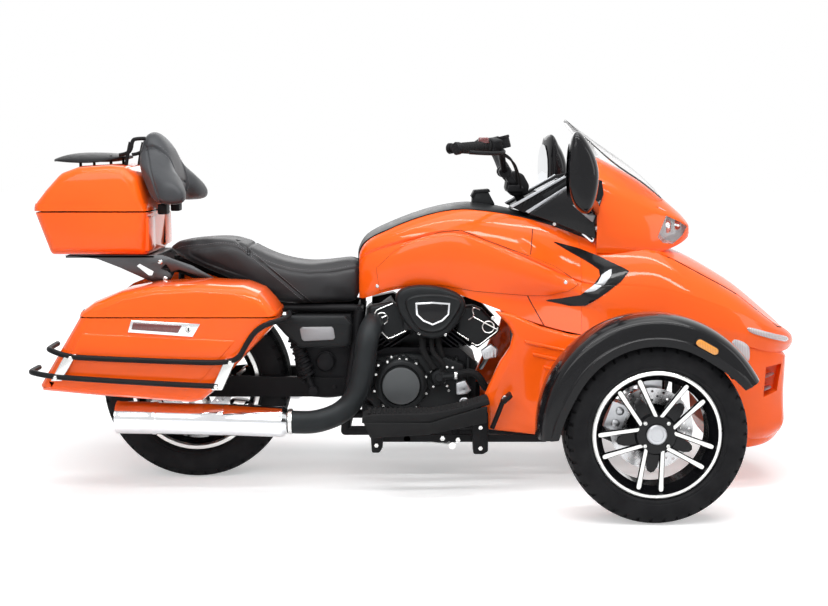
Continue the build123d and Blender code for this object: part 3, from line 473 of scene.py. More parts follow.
def spread(name, piece, places):
    # copies of one piece at each place, joined
    copies = [copyOf(piece, name, Matrix.Translation(Vector(place) * mm)) for place in places]
    bpy.data.objects.remove(piece)
    return joined(name, copies)


def about(centre, degrees, axis="Y"):
    pivot = Matrix.Translation(Vector(centre) * mm)
    return pivot @ Matrix.Rotation(math.radians(degrees), 4, axis) @ pivot.inverted()


def inwards(outline, depth):
    # the outline with each side moved inward by depth, or outward where depth is negative
    count = len(outline)
    area = sum(outline[i - 1][0] * outline[i][1] - outline[i][0] * outline[i - 1][1] for i in range(count))
    turn = 1 if area > 0 else -1
    moved = []
    for i in range(count):
        before, here, after = outline[i - 1], outline[i], outline[(i + 1) % count]
        sides = []
        for start, end in ((before, here), (here, after)):
            length = math.hypot(end[0] - start[0], end[1] - start[1])
            sides.append((-turn * (end[1] - start[1]) / length, turn * (end[0] - start[0]) / length))
        (ax, az), (bx, bz) = sides
        reach = depth / (1 + ax * bx + az * bz)
        moved.append((here[0] + (ax + bx) * reach, here[1] + (az + bz) * reach))
    return moved


def stack(outline, stations, side=1):
    # a side-view outline at each station's y, moved inward by its depth
    return [[(x, side * y, z) for x, z in inwards(outline, depth)] for y, depth in stations]


def onCircle(centre, radius, degrees):
    # x and z of a point on a circle about a cross axle
    turn = math.radians(degrees)
    return centre[0] + radius * math.cos(turn), centre[-1] + radius * math.sin(turn)


# Finishes on the frame's own nodes
nodeFinish = {
    "frame": "frame", "swingarm": "frame", "wishbones": "frame", "rack_housing": "cast", "tie_rods": "steel",
    "engine_case": "cast", "cylinders": "cast", "engine_covers": "satin", "air_cleaner": "satin",
    "exhaust_pipes": "pipe", "mufflers": "chrome", "radiator": "plastic", "rear_shocks": "cast",
    "coilovers": "steel", "tank_shell": "orange", "tank_console": "black", "body_sides": "orange",
    "front_body": "orange", "hood": "orange", "cowl": "orange", "windshield": "screen", "headlamps": "smoke",
    "dash": "plastic", "mirrors": "black", "lower_panels": "orange", "side_covers": "plastic",
    "footboards": "rubber", "seat": "seat", "case_base": "orange", "case_lid": "orange",
    "case_bracket": "gunmetal",
    "luggage_rack": "frame", "backrest": "pad", "pannier_guards": "frame", "handlebar": "frame",
    "rear_fender": "black", "tail_lamp": "red", "rear_rim": "black", "rear_tyre": "tyre",
}
for side in ("left", "right"):
    nodeFinish.update({f"pannier_{side}_base": "orange", f"pannier_{side}_lid": "orange",
                       f"knuckle_{side}": "alloy",
                       f"front_fender_{side}": "black", f"front_rim_{side}": "black",
                       f"front_tyre_{side}": "tyre"})
for name, material in nodeFinish.items():
    coat(nodes[name], material)
print("frame nodes finished")

# Orange bodywork. One skin runs from the back of the tank to the nose and is then parted at its seams.
flowLook = {"part": 534, "gap": 0.6, "creases": {1: 0.2, 2: 0.6, 4: 0.9, 5: 0.75, 8: 0.4, 9: 1.0}}
flowRows = [  # x, top, seam y z, crease y z, bulge y z, groove y z, low y z
    (-214, 806, 88, 790, 110, 762, 118, 710, 114, 660, 108, 640),
    (-196, 852, 104, 834, 134, 800, 142, 730, 134, 655, 128, 637),
    (-120, 888, 125, 872, 162, 826, 174, 750, 162, 684, 153, 668),
    (-5, 934, 138, 921, 190, 862, 201, 780, 190, 706, 182, 690),
    (113, 962, 145, 948, 206, 890, 214, 800, 204, 690, 198, 668),
    (200, 964, 146, 943, 212, 856, 226, 778, 212, 662, 214, 634),
    (300, 942, 143, 928, 216, 815, 236, 745, 214, 646, 224, 598),
    (400, 914, 142, 906, 221, 771, 246, 712, 220, 637, 246, 563),
    (500, 878, 143, 872, 232, 720, 254, 680, 232, 648, 266, 539),
    (570, 850, 152, 840, 254, 700, 268, 655, 262, 612, 276, 530),
    (640, 838, 176, 828, 266, 708, 282, 650, 286, 590, 290, 522),
    (770, 838, 205, 815, 278, 700, 291, 640, 296, 585, 296, 522),
    (850, 817, 206, 781, 283, 682, 294, 625, 298, 578, 296, 522),
    (928, 784, 206, 742, 284, 656, 294, 608, 298, 570, 296, 522),
    (1000, 741, 204, 704, 282, 632, 291, 590, 295, 555, 292, 515),
    (1063, 704, 200, 668, 277, 604, 287, 570, 290, 540, 286, 502),
    (1120, 660, 190, 625, 262, 576, 272, 545, 275, 520, 268, 485),
    (1180, 609, 168, 577, 238, 546, 250, 520, 252, 498, 244, 468),
    (1240, 556, 124, 544, 182, 528, 190, 508, 190, 490, 178, 464),
    (1275, 520, 84, 516, 132, 508, 138, 497, 136, 486, 124, 472),
    (1288, 507, 58, 504, 96, 499, 102, 492, 100, 486, 88, 480)]


def halves(x, side):
    # a ring from one side's (y, z), top centre to bottom centre
    return [(x, -y, z) for y, z in side] + [(x, y, z) for y, z in reversed(side[1:-1])]


def makeFlow(name):
    rings = []
    for x, top, sy, sz, cy, cz, by, bz, gy, gz, ly, lz in flowRows:
        notch = 7 * min(1, max(0, (620 - x) / 120)) * min(1, (x + 230) / 60)
        side = [(0, top), (sy * 0.52, top - (top - sz) * 0.18), (sy, sz),
                ((sy + cy) / 2 + 9, (sz + cz) / 2 + 9), (cy, cz),
                (cy + (by - cy) * 0.10 - notch, cz + (bz - cz) * 0.12),
                (cy + (by - cy) * 0.3, cz + (bz - cz) * 0.24),
                (by, bz), (gy, gz), (ly, lz), (0, lz + 4)]
        rings.append(halves(x, side))
    return skin(name, rings, creases=flowLook["creases"], ringCreases={0: 0.7, len(rings) - 1: 0.8}, levels=2)


def keepSide(piece, x, front):
    # bisects at x and closes the cut
    return editAll(piece, bpy.ops.mesh.bisect, plane_co=(x * mm, 0, 0), plane_no=(1, 0, 0), use_fill=True,
                   clear_inner=front, clear_outer=not front)


def ribbonAbove(name, line, height, reach):
    # a closed prism over a side-view line, as wide as the body
    outline = line + [(line[-1][0], line[-1][1] + height), (line[0][0], line[0][1] + height)]
    return skin(name, [[(x, y, z) for x, z in outline] for y in (-reach, reach)])


hoodLook = {"seam": [(775, 812), (850, 780), (928, 738), (1000, 700), (1063, 664), (1120, 620), (1180, 574),
                     (1206, 553),
                     (1226, 547)], "gap": 3.2, "tongue": (905, 200), "thick": 5, "hinge": 1227}
flow = makeFlow("flow")
tank = keepSide(copyOf(flow, "tankSkin"), flowLook["part"] - flowLook["gap"] / 2, False)
frontShell = keepSide(copyOf(flow, "frontShell"), flowLook["part"] + flowLook["gap"] / 2, True)
bpy.data.objects.remove(flow)


def hoodZone(name, lift, growth):
    seam = [(x, z + lift) for x, z in hoodLook["seam"]]
    seam[0] = (seam[0][0] - growth, seam[0][1])
    seam[-1] = (seam[-1][0] + growth, seam[-1][1])
    zone = ribbonAbove(name, seam, 400, 400)
    tongueX, tongueY = hoodLook["tongue"]
    keepOut = skin("keepOut", [[(600, y, 500), (tongueX + growth, y, 500), (tongueX + growth, y, 1100),
                                (600, y, 1100)]
                               for y in (-tongueY + growth, tongueY - growth)])
    return cutBy(zone, keepOut)


hood = cutBy(copyOf(frontShell, "hoodSkin"), hoodZone("zone", 0, 0), "INTERSECT")
cutBy(frontShell, hoodZone("zone", -hoodLook["gap"], 1))
trunkLook = {"rows": [(914, 180), (1060, 180), (1165, 146)], "floor": 546, "top": 1000}
trunk = skin("trunkVoid", [[(x, -y, trunkLook["floor"]), (x, y, trunkLook["floor"]), (x, y, trunkLook["top"]),
                            (x, -y, trunkLook["top"])] for x, y in trunkLook["rows"]])
cutBy(frontShell, trunk)

# the hood becomes a pressed panel: its flat underside goes, and the rest gets a thickness
pickOnly(hood)
bpy.ops.object.mode_set(mode="EDIT")
bpy.ops.mesh.select_all(action="DESELECT")
mesh = bmesh.from_edit_mesh(hood.data)
for face in mesh.faces:
    face.select = face.normal.z < -0.2
bmesh.update_edit_mesh(hood.data)
bpy.ops.mesh.delete(type="FACE")
bpy.ops.object.mode_set(mode="OBJECT")
finishWith(hood, "SOLIDIFY", thickness=hoodLook["thick"] * mm, offset=-1)
smooth(hood, 32)
dress(hood, "orange", "hood", "orange_paint", ["hood"])
recoat(hood, "plastic", lambda normal, centre: normal.z < -0.3)
smooth(tank, 32)
smooth(frontShell, 32)
dress(tank, "orange", slot="orange_paint", stands=["tank_shell", "body_sides"])
dress(frontShell, "orange", slot="orange_paint", stands=["front_body"])
recoat(frontShell, "plastic", lambda normal,
       centre: 905 < centre.x < 1170 and abs(centre.y) < 181 and centre.z < 700
       and centre.z > 540)
print("bodywork skins")

# Nose: bumper under the beak, with side pockets, fins, lamps and a lower lip
noseLook = {
    "bumper": [  # x and one side's (y, z) from the top centre down
        (1012, [(0, 560), (235, 560), (283, 505), (288, 420), (286, 320), (270, 205), (210, 140), (0, 136)]),
        (1090, [(0, 530), (225, 525), (274, 490), (280, 410), (276, 310), (262, 195), (205, 134), (0, 130)]),
        (1150, [(0, 506), (204, 500), (250, 480), (254, 400), (248, 300), (246, 200), (196, 136), (0, 130)]),
        (1196, [(0, 488), (188, 484), (230, 468), (232, 380), (222, 300), (226, 206), (184, 150), (0, 140)]),
        (1232, [(0, 474), (156, 470), (200, 455), (196, 376), (188, 306), (206, 220), (164, 168), (0, 158)]),
        (1246, [(0, 466), (126, 462), (172, 448), (164, 372), (156, 312), (180, 226), (138, 178), (0, 168)])],
    "pocket": [(1152, 426), (1236, 441), (1216, 325), (1146, 309)],
    "fins": [((1150, 381), (1200, 394)), ((1147, 337), (1190, 349))],
    "lip": [(0, 1280), (60, 1276), (120, 1258), (170, 1224), (208, 1176), (232, 1120)],
    "lipSection": [(0, 196), (-5, 210), (-24, 220), (-56, 194), (-78, 150), (-64, 132), (-26, 148)],
    "mouth": [(1172, 92, 430, 0.82, 270), (1300, 104, 440, 0.86, 262)],  # x, half width, top, taper, foot
    "beakLamp": [(1078, 289, 566, 546), (1130, 277, 550, 530), (1180, 256, 535, 515), (1225, 212, 522, 502),
                 (1258, 166, 512, 494)],  # x, y, top, low
    "cornerLamp": [(1026, 292, 532, 482), (1056, 290, 528, 452), (1086, 284, 510, 436),
                   (1098, 277, 490, 442)]}

bumper = skin("bumperSkin", [halves(x, side) for x, side in noseLook["bumper"]],
              creases={2: 0.6, 5: 0.5, 7: 0.4}, ringCreases={0: 1.0, 4: 0.5, 5: 0.6}, levels=2)
for side in (-1, 1):
    cutBy(bumper, skin("pocket", stack(noseLook["pocket"], ((176, 16), (330, -4)), side)))
mouth = skin("mouth", [[(x, -y, top), (x, y, top), (x, y * taper, foot), (x, -y * taper, foot)]
                       for x, y, top, taper, foot in noseLook["mouth"]])
cutBy(bumper, mouth)
smooth(bumper, 34)
dress(bumper, "orange", slot="orange_paint")
recoat(bumper, "plastic", lambda normal, centre: normal.x > 0.9 and 1165 < centre.x < 1180)

fins = []
for (x0, z0), (x1, z1) in noseLook["fins"]:
    for side in (-1, 1):
        outer = [254 - (x0 - 1128) * 0.2, 240 - (x1 - 1172) * 0.55]
        fins.append(skin("fin", [[(x, side * y, z - 6), (x, side * (y - 50), z - 4),
                                  (x, side * (y - 50), z + 4), (x, side * y, z + 6)]
                                 for x, y, z in ((x0, outer[0], z0),
                                                 ((x0 + x1) / 2, sum(outer) / 2 + 2, (z0 + z1) / 2),
                                                 (x1, outer[1], z1))], levels=1))
fins = joined("noseFins", fins)
smooth(fins, 40)
dress(fins, "silver", slot="alloy")

# lower lip swept round the front
lipRings = []
for side, rows in ((-1, list(reversed(noseLook["lip"]))), (1, noseLook["lip"][1:])):
    for y, x in rows:
        taper = 1 - (y / 330) ** 2 * 0.5
        lipRings.append([(x + dx * taper, side * y, z) for dx, z in noseLook["lipSection"]])
lip = skin("chinLip", lipRings, creases={1: 0.5, 4: 0.4}, levels=2)
smooth(lip, 40)
dress(lip, "orange", slot="orange_paint")

plate = skin("mouthMesh", [[(1176, -96, z), (1176, 96, z), (1182, 96, z), (1182, -96, z)] for z in (266,
    436)])
bars = [block("bar", (1178, -92, 274 + 25 * k), (1192, 92, 279 + 25 * k), 1) for k in range(7)]
uprights = [block("upright", (1180, -80 + 38 * k, 268), (1190, -74 + 38 * k, 436), 1) for k in range(5)]
dress(joined("mouthGrille", [plate] + bars + uprights), "plastic", slot="black_plastic")

# slim lamps under the beak and clear lamps behind the fenders
drls = []
for side in (-1, 1):
    drls.append(skin("drl", [[(x, side * y, top), (x + 5, side * (y + 3), (top + low) / 2),
                              (x, side * y, low),
                              (x - 12, side * (y - 30), low), (x - 12, side * (y - 30), top)]
                             for x, y, top, low in noseLook["beakLamp"]], creases={0: 0.8, 2: 0.8}, levels=2))
drls = joined("beakLamps", drls)
smooth(drls, 50)
dress(drls, "drl", slot="lamp_glass")
lamps = []
for side in (-1, 1):
    lamps.append(skin("lamp", [[(x, side * y, top), (x, side * (y + 4), (top + low) / 2), (x, side * y, low),
                                (x, side * (y - 30), low), (x, side * (y - 30), top)]
                               for x, y, top, low in noseLook["cornerLamp"]], levels=2))
lamps = joined("cornerLamps", lamps)
smooth(lamps, 50)
dress(lamps, "drl", slot="lamp_glass")

# Cowl, its lamps and the screen
cowlLook = {"rows": [  # x and one side's (y, z) from the top centre down
    (588, [(0, 1132), (60, 1127), (104, 1110), (160, 1066), (184, 1030), (204, 952), (212, 872), (210, 800),
           (0, 800)]),
    (650, [(0, 1104), (60, 1099), (104, 1083), (158, 1038), (180, 1000), (204, 930), (214, 858), (212, 800),
           (0, 800)]),
    (720, [(0, 1066), (58, 1060), (100, 1044), (152, 1000), (174, 968), (196, 908), (206, 850), (206, 800),
           (0, 800)]),
    (790, [(0, 1020), (54, 1014), (92, 1000), (142, 966), (164, 938), (178, 896), (186, 848), (190, 800),
           (0, 800)]),
    (830, [(0, 990), (48, 984), (82, 972), (126, 948), (146, 928), (160, 890), (164, 850), (168, 806),
           (0, 800)]),
    (874, [(0, 952), (40, 948), (72, 941), (108, 928), (128, 914), (142, 884), (144, 852), (142, 822),
           (0, 816)]),
    (906, [(0, 924), (34, 921), (60, 914), (90, 905), (106, 896), (114, 880), (114, 858), (110, 838),
           (0, 832)]),
    (922, [(0, 904), (28, 901), (52, 896), (74, 891), (84, 885), (88, 876), (88, 862), (84, 850), (0, 846)])],
    "lamp": [(794, 852), (815, 830), (855, 824), (892, 850), (921, 886), (880, 908), (828, 930)]}
cowl = skin("cowlSkin", [halves(x, side) for x, side in cowlLook["rows"]],
            creases={2: 0.95, 4: 0.9, 6: 0.5, 7: 0.6}, ringCreases={0: 1.0, 7: 0.5}, levels=2)
lensPlug = copyOf(cowl, "headlampLens")
for name, rows in (("near", ((-260, -2), (-84, 8))), ("far", ((84, 8), (260, -2)))):
    cutBy(cowl, skin(name, stack(cowlLook["lamp"], rows)))
both = joined("both", [skin("lampZone", stack(cowlLook["lamp"], rows))
                       for rows in (((-260, 2), (-100, 2)), ((100, 2), (260, 2)))])
cutBy(lensPlug, both, "INTERSECT")
smooth(cowl, 34)
smooth(lensPlug, 34)
dress(cowl, "orange", slot="orange_paint", stands=["cowl"])
recoat(cowl, "silver", lambda normal, centre: abs(centre.y) < 100 and abs(normal.y) > 0.95 and centre.x > 790)
dress(lensPlug, "lens", slot="lamp_glass", stands=["headlamps"])
bulbs = []
for side in (-1, 1):
    for x, y, z, r in ((836, 112, 884, 22), (868, 96, 886, 15)):
        bulbs.append(turned("bulb", (x, side * y, z), [(r, -8), (r, 2), (r * 0.82, 8), (r * 0.5, 11),
            (r * 0.1, 12)], 24, "X"))
bulbs = joined("lampBowls", bulbs)
dress(bulbs, "mirror", slot="chrome")
strips = []
for side in (-1, 1):
    strips.append(skin("strip", [[(x, side * y, z), (x + 2, side * (y + 4), z - 6),
                                  (x, side * (y - 8), z - 8)] for x, y, z in
                                 ((792, 148, 962), (830, 132, 944), (866, 110, 926), (892, 88, 906))],
                                 levels=1))
strips = joined("browStrips", strips)
smooth(strips, 60)
dress(strips, "chrome", slot="chrome")

screenLook = {"rows": [  # x, middle z, half width, edge z
    (500, 1243, 62, 1237), (530, 1220, 108, 1205), (575, 1188, 146, 1160), (640, 1143, 166, 1098),
                       (700, 1103, 160, 1058), (754, 1062, 148, 1026), (800, 1016, 122, 990),
                       (840, 976, 92, 962)],
              "thick": 3.5, "lift": 7}
rings = []
for x, mid, wide, edge in screenLook["rows"]:
    lift = screenLook["lift"]
    arc = [(0, mid + lift), (wide * 0.35, mid * 0.88 + edge * 0.12 + lift),
           (wide * 0.7, mid * 0.52 + edge * 0.48 + lift),
           (wide, edge + lift)]
    under = [(y, z - screenLook["thick"]) for y, z in reversed(arc)]
    rings.append(halves(x, arc + under))
screen = skin("screenClear", rings, creases={3: 0.8, 4: 0.8}, ringCreases={0: 0.8}, levels=2)
smooth(screen, 60)
dress(screen, "screen", slot="clear_screen", stands=["windshield"])
print("nose, cowl and screen")

# Front fenders: one section swept about the wheel
fenderLook = {"centre": (709, 607, 295), "start": 26, "sweep": 159, "steps": 14,
              "outer": [(266, 103), (290, 104), (293, 99), (318, 97), (336, 93), (349, 78), (357, 48),
                        (361, 0), (357, -50),
                        (347, -80), (328, -91), (298, -92)], "wall": 4}


def fenderRing(degrees):
    share = (degrees - fenderLook["start"]) / fenderLook["sweep"]
    taper = max(0, abs(share - 0.5) - 0.34) / 0.16
    outer = [(r + taper * 30 * (i < 3), y) for i, (r, y) in enumerate(fenderLook["outer"])]
    inner = [(r - fenderLook["wall"] * (3 < i < 10),
              y - fenderLook["wall"] * (1 if y > 0 else -1) * (i < 6 or i > 8))
             for i, (r, y) in enumerate(outer)]
    rings = []
    for r, y in outer + inner[::-1]:
        x, z = onCircle(fenderLook["centre"], r, degrees)
        rings.append((x, fenderLook["centre"][1] + y, z))
    return rings


steps = fenderLook["steps"]
rings = [fenderRing(fenderLook["start"] + fenderLook["sweep"] * k / steps) for k in range(steps + 1)]
fender = skin("frontFenderLeft", rings, creases={0: 0.9, 1: 0.8, 2: 0.8, 4: 0.35, 11: 0.8, 12: 0.8, 23: 0.9},
              ringCreases={0: 0.8, steps: 0.8}, levels=2)
smooth(fender, 40)
markerLook = {"reach": 301, "turn": 29, "long": 37, "high": 11}


def markerSkin(name, grow, y0, y1):
    # a round-ended bar laid along the fender's side, forward of its top
    cx, cy, cz = fenderLook["centre"]
    long, high = markerLook["long"] + grow, markerLook["high"] + grow
    outline = []
    for end, start in ((1, -90), (-1, 90)):
        for k in range(7):
            turn = math.radians(start + 30 * k)
            outline.append((cx + end * (long - high) + high * math.cos(turn),
                            cz + markerLook["reach"] + high * math.sin(turn)))
    piece = slab(name, outline, cy + y0, cy + y1, 2.5, 3)
    piece.data.transform(about(fenderLook["centre"], markerLook["turn"]))
    return piece


marker = markerSkin("marker", 0, 90, 107)
markerRim = markerSkin("markerRim", 3, 90, 103)
dress(marker, "amber", "knuckle_left", "red_lens")
dress(markerRim, "plastic", "knuckle_left", "black_plastic")
for piece in (marker, markerRim):
    twin = copyOf(piece, piece.name + "Right", acrossCentre)
    dress(twin, "amber" if piece is marker else "plastic", "knuckle_right",
          "red_lens" if piece is marker else "black_plastic")
fenderRight = copyOf(fender, "frontFenderRight", acrossCentre)
dress(fender, "black", "knuckle_left", "black_paint", ["front_fender_left"])
dress(fenderRight, "black", "knuckle_right", "black_paint", ["front_fender_right"])

# Wheels, made about the left wheel's centre with the outer face towards +Y
wheelLook = {
    "front": {"centre": (717, 607, 281), "rim": 199, "half": 72, "tyre": 281, "width": 165},
    "rear": {"centre": (-788, 0, 325), "rim": 225, "half": 80, "tyre": 325, "width": 190}}
spokeLook = {"pairs": 5, "splay": 4.2, "apart": 22, "turn": 42,
             "rows": [  # radius, half width, face y, back y
    (34, 8.5, 58, 40), (62, 8.5, 57, 38), (110, 8.5, 57, 40), (158, 9.5, 60, 42), (182, 12, 65, 44)],
             "web": [(30, 26, 50, 36), (80, 22, 48, 36), (128, 16, 46, 36)]}


treadLook = {"strips": 168, "every": 4, "lip": 0.0009, "depth": 0.0045}  # the last two in metres


def wheelBarrel(name, look):
    rim, half = look["rim"], look["half"]
    profile = [(rim - 12, half), (rim - 4, half + 1), (rim, half - 2), (rim, half - 6), (rim - 10, half - 8),
               (rim - 11, half - 24), (rim - 28, half - 40), (rim - 28, 40 - half), (rim - 11, 24 - half),
               (rim - 10, 8 - half),
               (rim, 6 - half), (rim, 2 - half), (rim - 12, -half), (rim - 17, 14 - half),
               (rim - 34, 36 - half),
               (rim - 34, half - 36), (rim - 18, half - 16)]
    return turned(name, look["centre"], profile, 72, closed=True)


def tyreSkin(name, look):
    seat, r, w = look["rim"] - 10, look["tyre"], look["width"]
    half = [(seat + 1, look["half"] - 7), (seat + 12, look["half"] - 7), (seat + 14, look["half"] + 1),
            (seat + 20, w / 2 - 5),
            (seat + 26, w / 2 - 4.5), (seat + 28, w / 2 - 2.5), (seat + 40, w / 2),
            (seat + 52, w / 2 - 0.6), (r - 30, w / 2 - 2),
            (r - 22, w / 2 - 3.5), (r - 8, w / 2 - 13), (r - 3, w / 2 - 24), (r - 1, w / 2 - 42),
            (r - 7, w / 2 - 43),
            (r - 7, w / 2 - 50), (r, w / 2 - 51), (r, 4), (r - 7, 3.5)]
    profile = half + [(radius, -y) for radius, y in reversed(half)]
    piece = turned(name, look["centre"], profile, treadLook["strips"], closed=True)
    # tread: every fourth strip between shoulder and groove goes in, shifted from row to row
    pickOnly(piece)
    bpy.ops.object.mode_set(mode="EDIT")
    bpy.ops.mesh.select_all(action="DESELECT")
    mesh = bmesh.from_edit_mesh(piece.data)
    cx, cy, cz = look["centre"]
    for face in mesh.faces:
        centre = face.calc_center_median() * 1000
        radius = math.hypot(centre.x - cx, centre.z - cz)
        step = round((math.degrees(math.atan2(centre.z - cz,
                                              centre.x - cx)) % 360) / (360 / treadLook["strips"]) - 0.5)
        side = centre.y - cy
        row = 0 if radius < r - 14 else 1 if abs(side) > w / 2 - 20 else 2
        if r - 24 < radius and abs(side) > w / 2 - 42 and abs(face.normal.y) < 0.97:
            face.select = (step + row * (1 if side > 0 else 2)) % treadLook["every"] == 0
    bmesh.update_edit_mesh(piece.data)
    bpy.ops.mesh.inset(thickness=treadLook["lip"], use_boundary=True)
    bpy.ops.transform.shrink_fatten(value=-treadLook["depth"])
    bpy.ops.object.mode_set(mode="OBJECT")
    return smooth(piece, 30)


def doubleSpokes(look):
    cx, cy, cz = look["centre"]
    bars = []
    for pair in range(spokeLook["pairs"]):
        for side in (-1, 1):
            rings = []
            for r, w, face, back in spokeLook["rows"]:
                section = ((-w, face - 5), (-w + 3, face), (w - 3, face), (w, face - 5), (w * 0.8, back),
                           (-w * 0.8, back))
                rings.append([(cx + a, cy + y, cz + r) for a, y in section])
            bar = skin("bar", rings, creases={k: 0.85 for k in range(6)}, levels=1)
            bar.data.transform(Matrix.Translation((side * spokeLook["apart"] * mm, 0, 0)))
            turn = 360 / spokeLook["pairs"] * pair + spokeLook["turn"]
            bars.append(copyOf(bar, "spoke", about(look["centre"], turn + side * spokeLook["splay"])))
            bpy.data.objects.remove(bar)
        web = skin("web", [[(cx + a, cy + y, cz + r) for a, y in ((-w, face), (w, face), (w, back),
            (-w, back))]
                           for r, w, face, back in spokeLook["web"]], creases={k: 0.9 for k in range(4)},
                           levels=1)
        web.data.transform(about(look["centre"], turn))
        bars.append(web)
    return joined("spokes", bars)


def drilledDisc(name, look, y0, inner):
    cx, cy, cz = look["centre"]
    disc = turned(name, look["centre"], [(inner, y0), (129, y0), (129, y0 + 5), (inner, y0 + 5)], 72,
                  closed=True)
    holes = []
    for r, count, offset in ((118, 20, 0), (104, 20, 0.5), (90, 20, 0)):
        for k in range(count):
            turn = 2 * math.pi * (k + offset) / count
            holes.append((r * math.cos(turn), 0, r * math.sin(turn)))
    drill = turned("drill", (cx, cy, cz), [(4, y0 - 3), (4, y0 + 8)], 10)
    return smooth(cutBy(disc, spread("drills", drill, holes)), 30)


look = wheelLook["front"]
centre = Vector(look["centre"])
barrelSkin = coat(wheelBarrel("frontRim", look), "black")
recoat(barrelSkin, "line", lambda normal, at: at.y - centre.y > 62 and math.hypot(at.x - centre.x,
    at.z - centre.z) > 184)
spokeSkin = coat(doubleSpokes(look), "black")
smooth(spokeSkin, 30)
recoat(spokeSkin, "line", lambda normal, at: normal.y > 0.9 and at.y - centre.y > 52)
hub = coat(turned("frontHub", look["centre"], [(22, -48), (56, -48), (56, 30), (64, 34), (66, 50), (60, 57),
                                               (34, 58), (33, 61)],
                  48), "black")
cap = coat(turned("hubCap", look["centre"], [(31, 55), (31, 66), (28, 69), (20, 70), (19, 68), (2, 68)],
                  40), "alloy")
nuts = []
for k in range(4):
    x, z = onCircle(centre, 50, 45 + 90 * k)
    nuts.append(turned("nut", (x, centre.y, z), [(7.5, 50), (7.5, 62), (6, 64), (4, 64), (3.6, 60),
                                                 (1, 60)], 6))
nuts = coat(joined("wheelBolts", nuts), "bolt")
disc = coat(drilledDisc("brakeDisc", look, -35, 74), "gold")
bell = coat(turned("discBell", look["centre"], [(50, -40), (78, -40), (80, -36), (80, -30), (56, -30)], 40),
            "black")
tyre = coat(tyreSkin("frontTyre", look), "tyre")
wheelStock = [(barrelSkin, "alloy", "front_rim_{}"), (spokeSkin, "alloy", ""), (hub, "alloy", ""),
              (cap, "alloy", ""),
              (nuts, "steel", ""), (disc, "steel", ""), (bell, "alloy", ""), (tyre, "tyre", "front_tyre_{}")]
for name, matrix in (("Left", None), ("Right", acrossCentre)):
    for source, slotName, stand in wheelStock:
        piece = copyOf(source, source.name + name, matrix)
        settle(piece, "front_wheel_" + name.lower(), slotName, [stand.format(name.lower())] if stand else ())

# Calipers over the discs, each with two piston caps
caliperLook = {"inner": 94, "outer": 146, "low": 138, "high": 182, "near": -12, "far": -62}
for name, mirrored in (("Left", None), ("Right", acrossCentre)):
    rings = []
    for k in range(9):
        degrees = caliperLook["low"] + (caliperLook["high"] - caliperLook["low"]) * k / 8
        thick = 1 - 0.35 * abs(k - 4) / 4
        mid = (caliperLook["near"] + caliperLook["far"]) / 2
        half = (caliperLook["near"] - caliperLook["far"]) / 2 * (0.8 + 0.2 * thick)
        ring = []
        outer = caliperLook["outer"] * (0.93 + 0.07 * thick)
        for r, y in ((caliperLook["inner"], half), (outer, half), (outer, -half),
                     (caliperLook["inner"], -half)):
            x, z = onCircle(centre, r, degrees)
            ring.append((x, centre.y + (mid + y), z))
        rings.append(ring)
    caliper = skin("caliper" + name, rings, creases={k: 0.7 for k in range(4)}, levels=2)
    smooth(caliper, 40)
    for degrees in (150, 170):
        x, z = onCircle(centre, 118, degrees)
        button = turned("button", (x, centre.y, z), [(13, -14), (13, -9), (10, -7), (1, -7)], 20)
        caliper = joined("caliper" + name, [caliper, button])
    if mirrored:
        caliper.data.transform(mirrored)
        outward(caliper)
    dress(caliper, "alloy", "knuckle_" + name.lower(), "alloy")
for stock in wheelStock:
    bpy.data.objects.remove(stock[0])

# Rear wheel
look = wheelLook["rear"]
cx, cy, cz = look["centre"]
rearRim = coat(wheelBarrel("rearRimSkin", look), "black")
recoat(rearRim, "line", lambda normal, at: at.y < -70 and math.hypot(at.x - cx, at.z - cz) > 208)
arms = []
for k in range(9):
    stem = skin("stem", [[(cx + a, y, cz + r) for a, y in ((-w, -40), (-w, 26), (w, 26), (w, -40))]
                         for r, w in ((36, 13), (80, 8), (132, 9))], creases={k: 0.8 for k in range(4)},
                         levels=1)
    fork = [skin("arm", [[(cx + a + side * (r - 124) * 0.44, y, cz + r) for a,
                          y in ((-w, -44), (-w, 20), (w, 20), (w, -44))]
                         for r, w in ((122, 8), (160, 6.5), (196, 9))], creases={k: 0.8 for k in range(4)},
                         levels=1)
            for side in (-1, 1)]
    whole = joined("rearSpoke", [stem] + fork)
    whole.data.transform(about(look["centre"], 40 * k))
    arms.append(whole)
rearSpokes = coat(smooth(joined("rearSpokes", arms), 30), "black")
recoat(rearSpokes, "line", lambda normal, at: normal.y < -0.9)
rearHub = coat(turned("rearHub", look["centre"], [(22, 60), (50, 60), (50, -60), (42, -62), (22, -62)], 40),
               "black")
rearDisc = coat(drilledDisc("rearDisc", look, -72, 78), "gold")
rearTyre = coat(tyreSkin("rearTyreSkin", look), "tyre")
settle(rearRim, "rear_wheel", "alloy", ["rear_rim"])
for piece in (rearSpokes, rearHub):
    settle(piece, "rear_wheel", "alloy")
settle(rearDisc, "rear_wheel", "steel")
settle(rearTyre, "rear_wheel", "tyre", ["rear_tyre"])
print("wheels and fenders")

# Luggage shells: a closed form is parted at its seam, each half gets a wall
def caseForm(name, outline, stations, bevel):
    return smooth(bevelled(skin(name, stack(outline, stations)), bevel, 4, angle_limit=math.radians(20)), 30)


def between(piece, z0, z1):
    # keeps what lies over z0 and under z1, where they are given
    for height, clearInner in ((z0, True), (z1, False)):
        if height is not None:
            editAll(piece, bpy.ops.mesh.bisect, plane_co=(0, 0, height * mm), plane_no=(0, 0, 1),
                    clear_inner=clearInner, clear_outer=not clearInner)
    return piece


